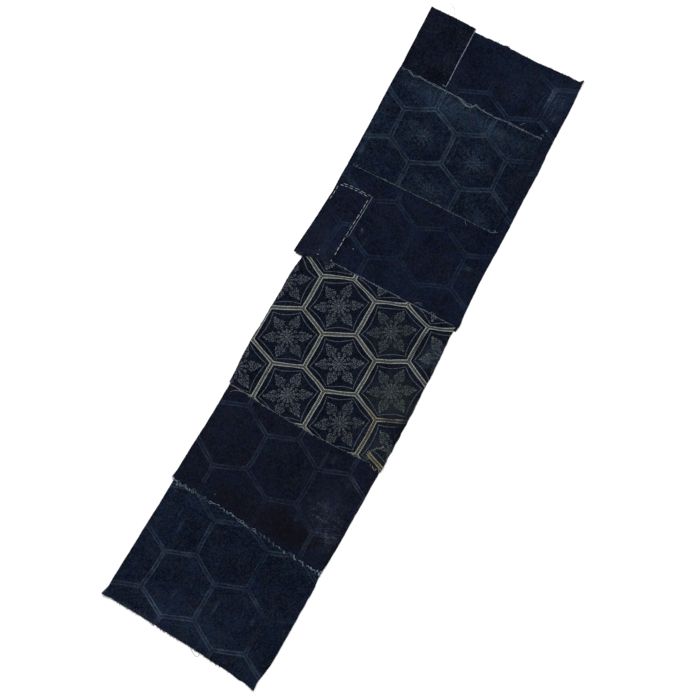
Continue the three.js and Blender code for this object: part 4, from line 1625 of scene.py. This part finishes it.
def table_top():
    """A plain pale table, white to the eye where nothing shades it."""
    mesh = bpy.data.meshes.new("table")
    corners = ((-TABLE_HALF, -TABLE_HALF), (TABLE_HALF, -TABLE_HALF), (TABLE_HALF, TABLE_HALF),
               (-TABLE_HALF, TABLE_HALF))
    mesh.from_pydata([(x, y, frame_low.z) for x, y in corners], [], [(0, 1, 2, 3)])
    table = bpy.data.objects.new("table", mesh)
    bpy.context.collection.objects.link(table)
    material, wires = new_material("pale_table")
    rays = wires.node("ShaderNodeLightPath")
    seen = Number(wires.tree, rays.outputs["Is Camera Ray"])
    seen = seen.most(Number(wires.tree, rays.outputs["Is Glossy Ray"]))
    seen = seen.most(Number(wires.tree, rays.outputs["Is Transmission Ray"]))
    wires.surface(wires.node("ShaderNodeBsdfPrincipled", {
        "Base Color": (0.86, 0.86, 0.86, 1), "Roughness": 0.9, "Specular IOR Level": 0.0,
        "Emission Color": (1, 1, 1, 1), "Emission Strength": seen * 0.3,
    }))
    mesh.materials.append(material)


def studio():
    """A white room and one broad lamp high on the left."""
    world = bpy.data.worlds.new("studio")
    bpy.context.scene.world = world
    world.use_nodes = True
    wires = Wiring(world.node_tree)
    wires.tree.nodes.clear()
    rays = wires.node("ShaderNodeLightPath")
    seen = Number(wires.tree, rays.outputs["Is Camera Ray"])
    light = {"Color": (1, 1, 1, 1), "Strength": seen.mix(ROOM_LIGHT, 1.0)}
    room = wires.node("ShaderNodeBackground", light)
    wires.surface(room, "ShaderNodeOutputWorld")
    lamp = bpy.data.lights.new("broad_lamp", "AREA")
    lamp.shape = "RECTANGLE"
    lamp.size = LAMP_SIDE
    lamp.size_y = LAMP_SIDE
    lamp.energy = LAMP_POWER
    lamp_object = bpy.data.objects.new("broad_lamp", lamp)
    bpy.context.collection.objects.link(lamp_object)
    lamp_object.location = LAMP_PLACE
    lamp_object.rotation_mode = "QUATERNION"
    lamp_object.rotation_quaternion = (-LAMP_PLACE).to_track_quat("-Z", "Y")


CAMERA_HEIGHT = 8.0
VIEW_WIDTH = 1.3125  # how much of the table the picture shows across, in metres
SENSOR = 36.0
VIEW_CENTRE = (12.2, 646.3)  # mm on the cloth
VIEW_ROLL = 29.0


def camera_above():
    """Looks straight down through a long lens, turned so that the panel leans to the right."""
    data = bpy.data.cameras.new("camera")
    camera = bpy.data.objects.new("camera", data)
    bpy.context.collection.objects.link(camera)
    camera.location = row_place(*VIEW_CENTRE, CAMERA_HEIGHT / MM)
    camera.rotation_euler = (0, 0, math.radians(VIEW_ROLL))
    data.sensor_width = SENSOR
    data.lens = SENSOR * CAMERA_HEIGHT / VIEW_WIDTH
    data.clip_end = 100
    bpy.context.scene.camera = camera


table_top()
studio()
camera_above()
bpy.context.scene.view_settings.view_transform = "Standard"
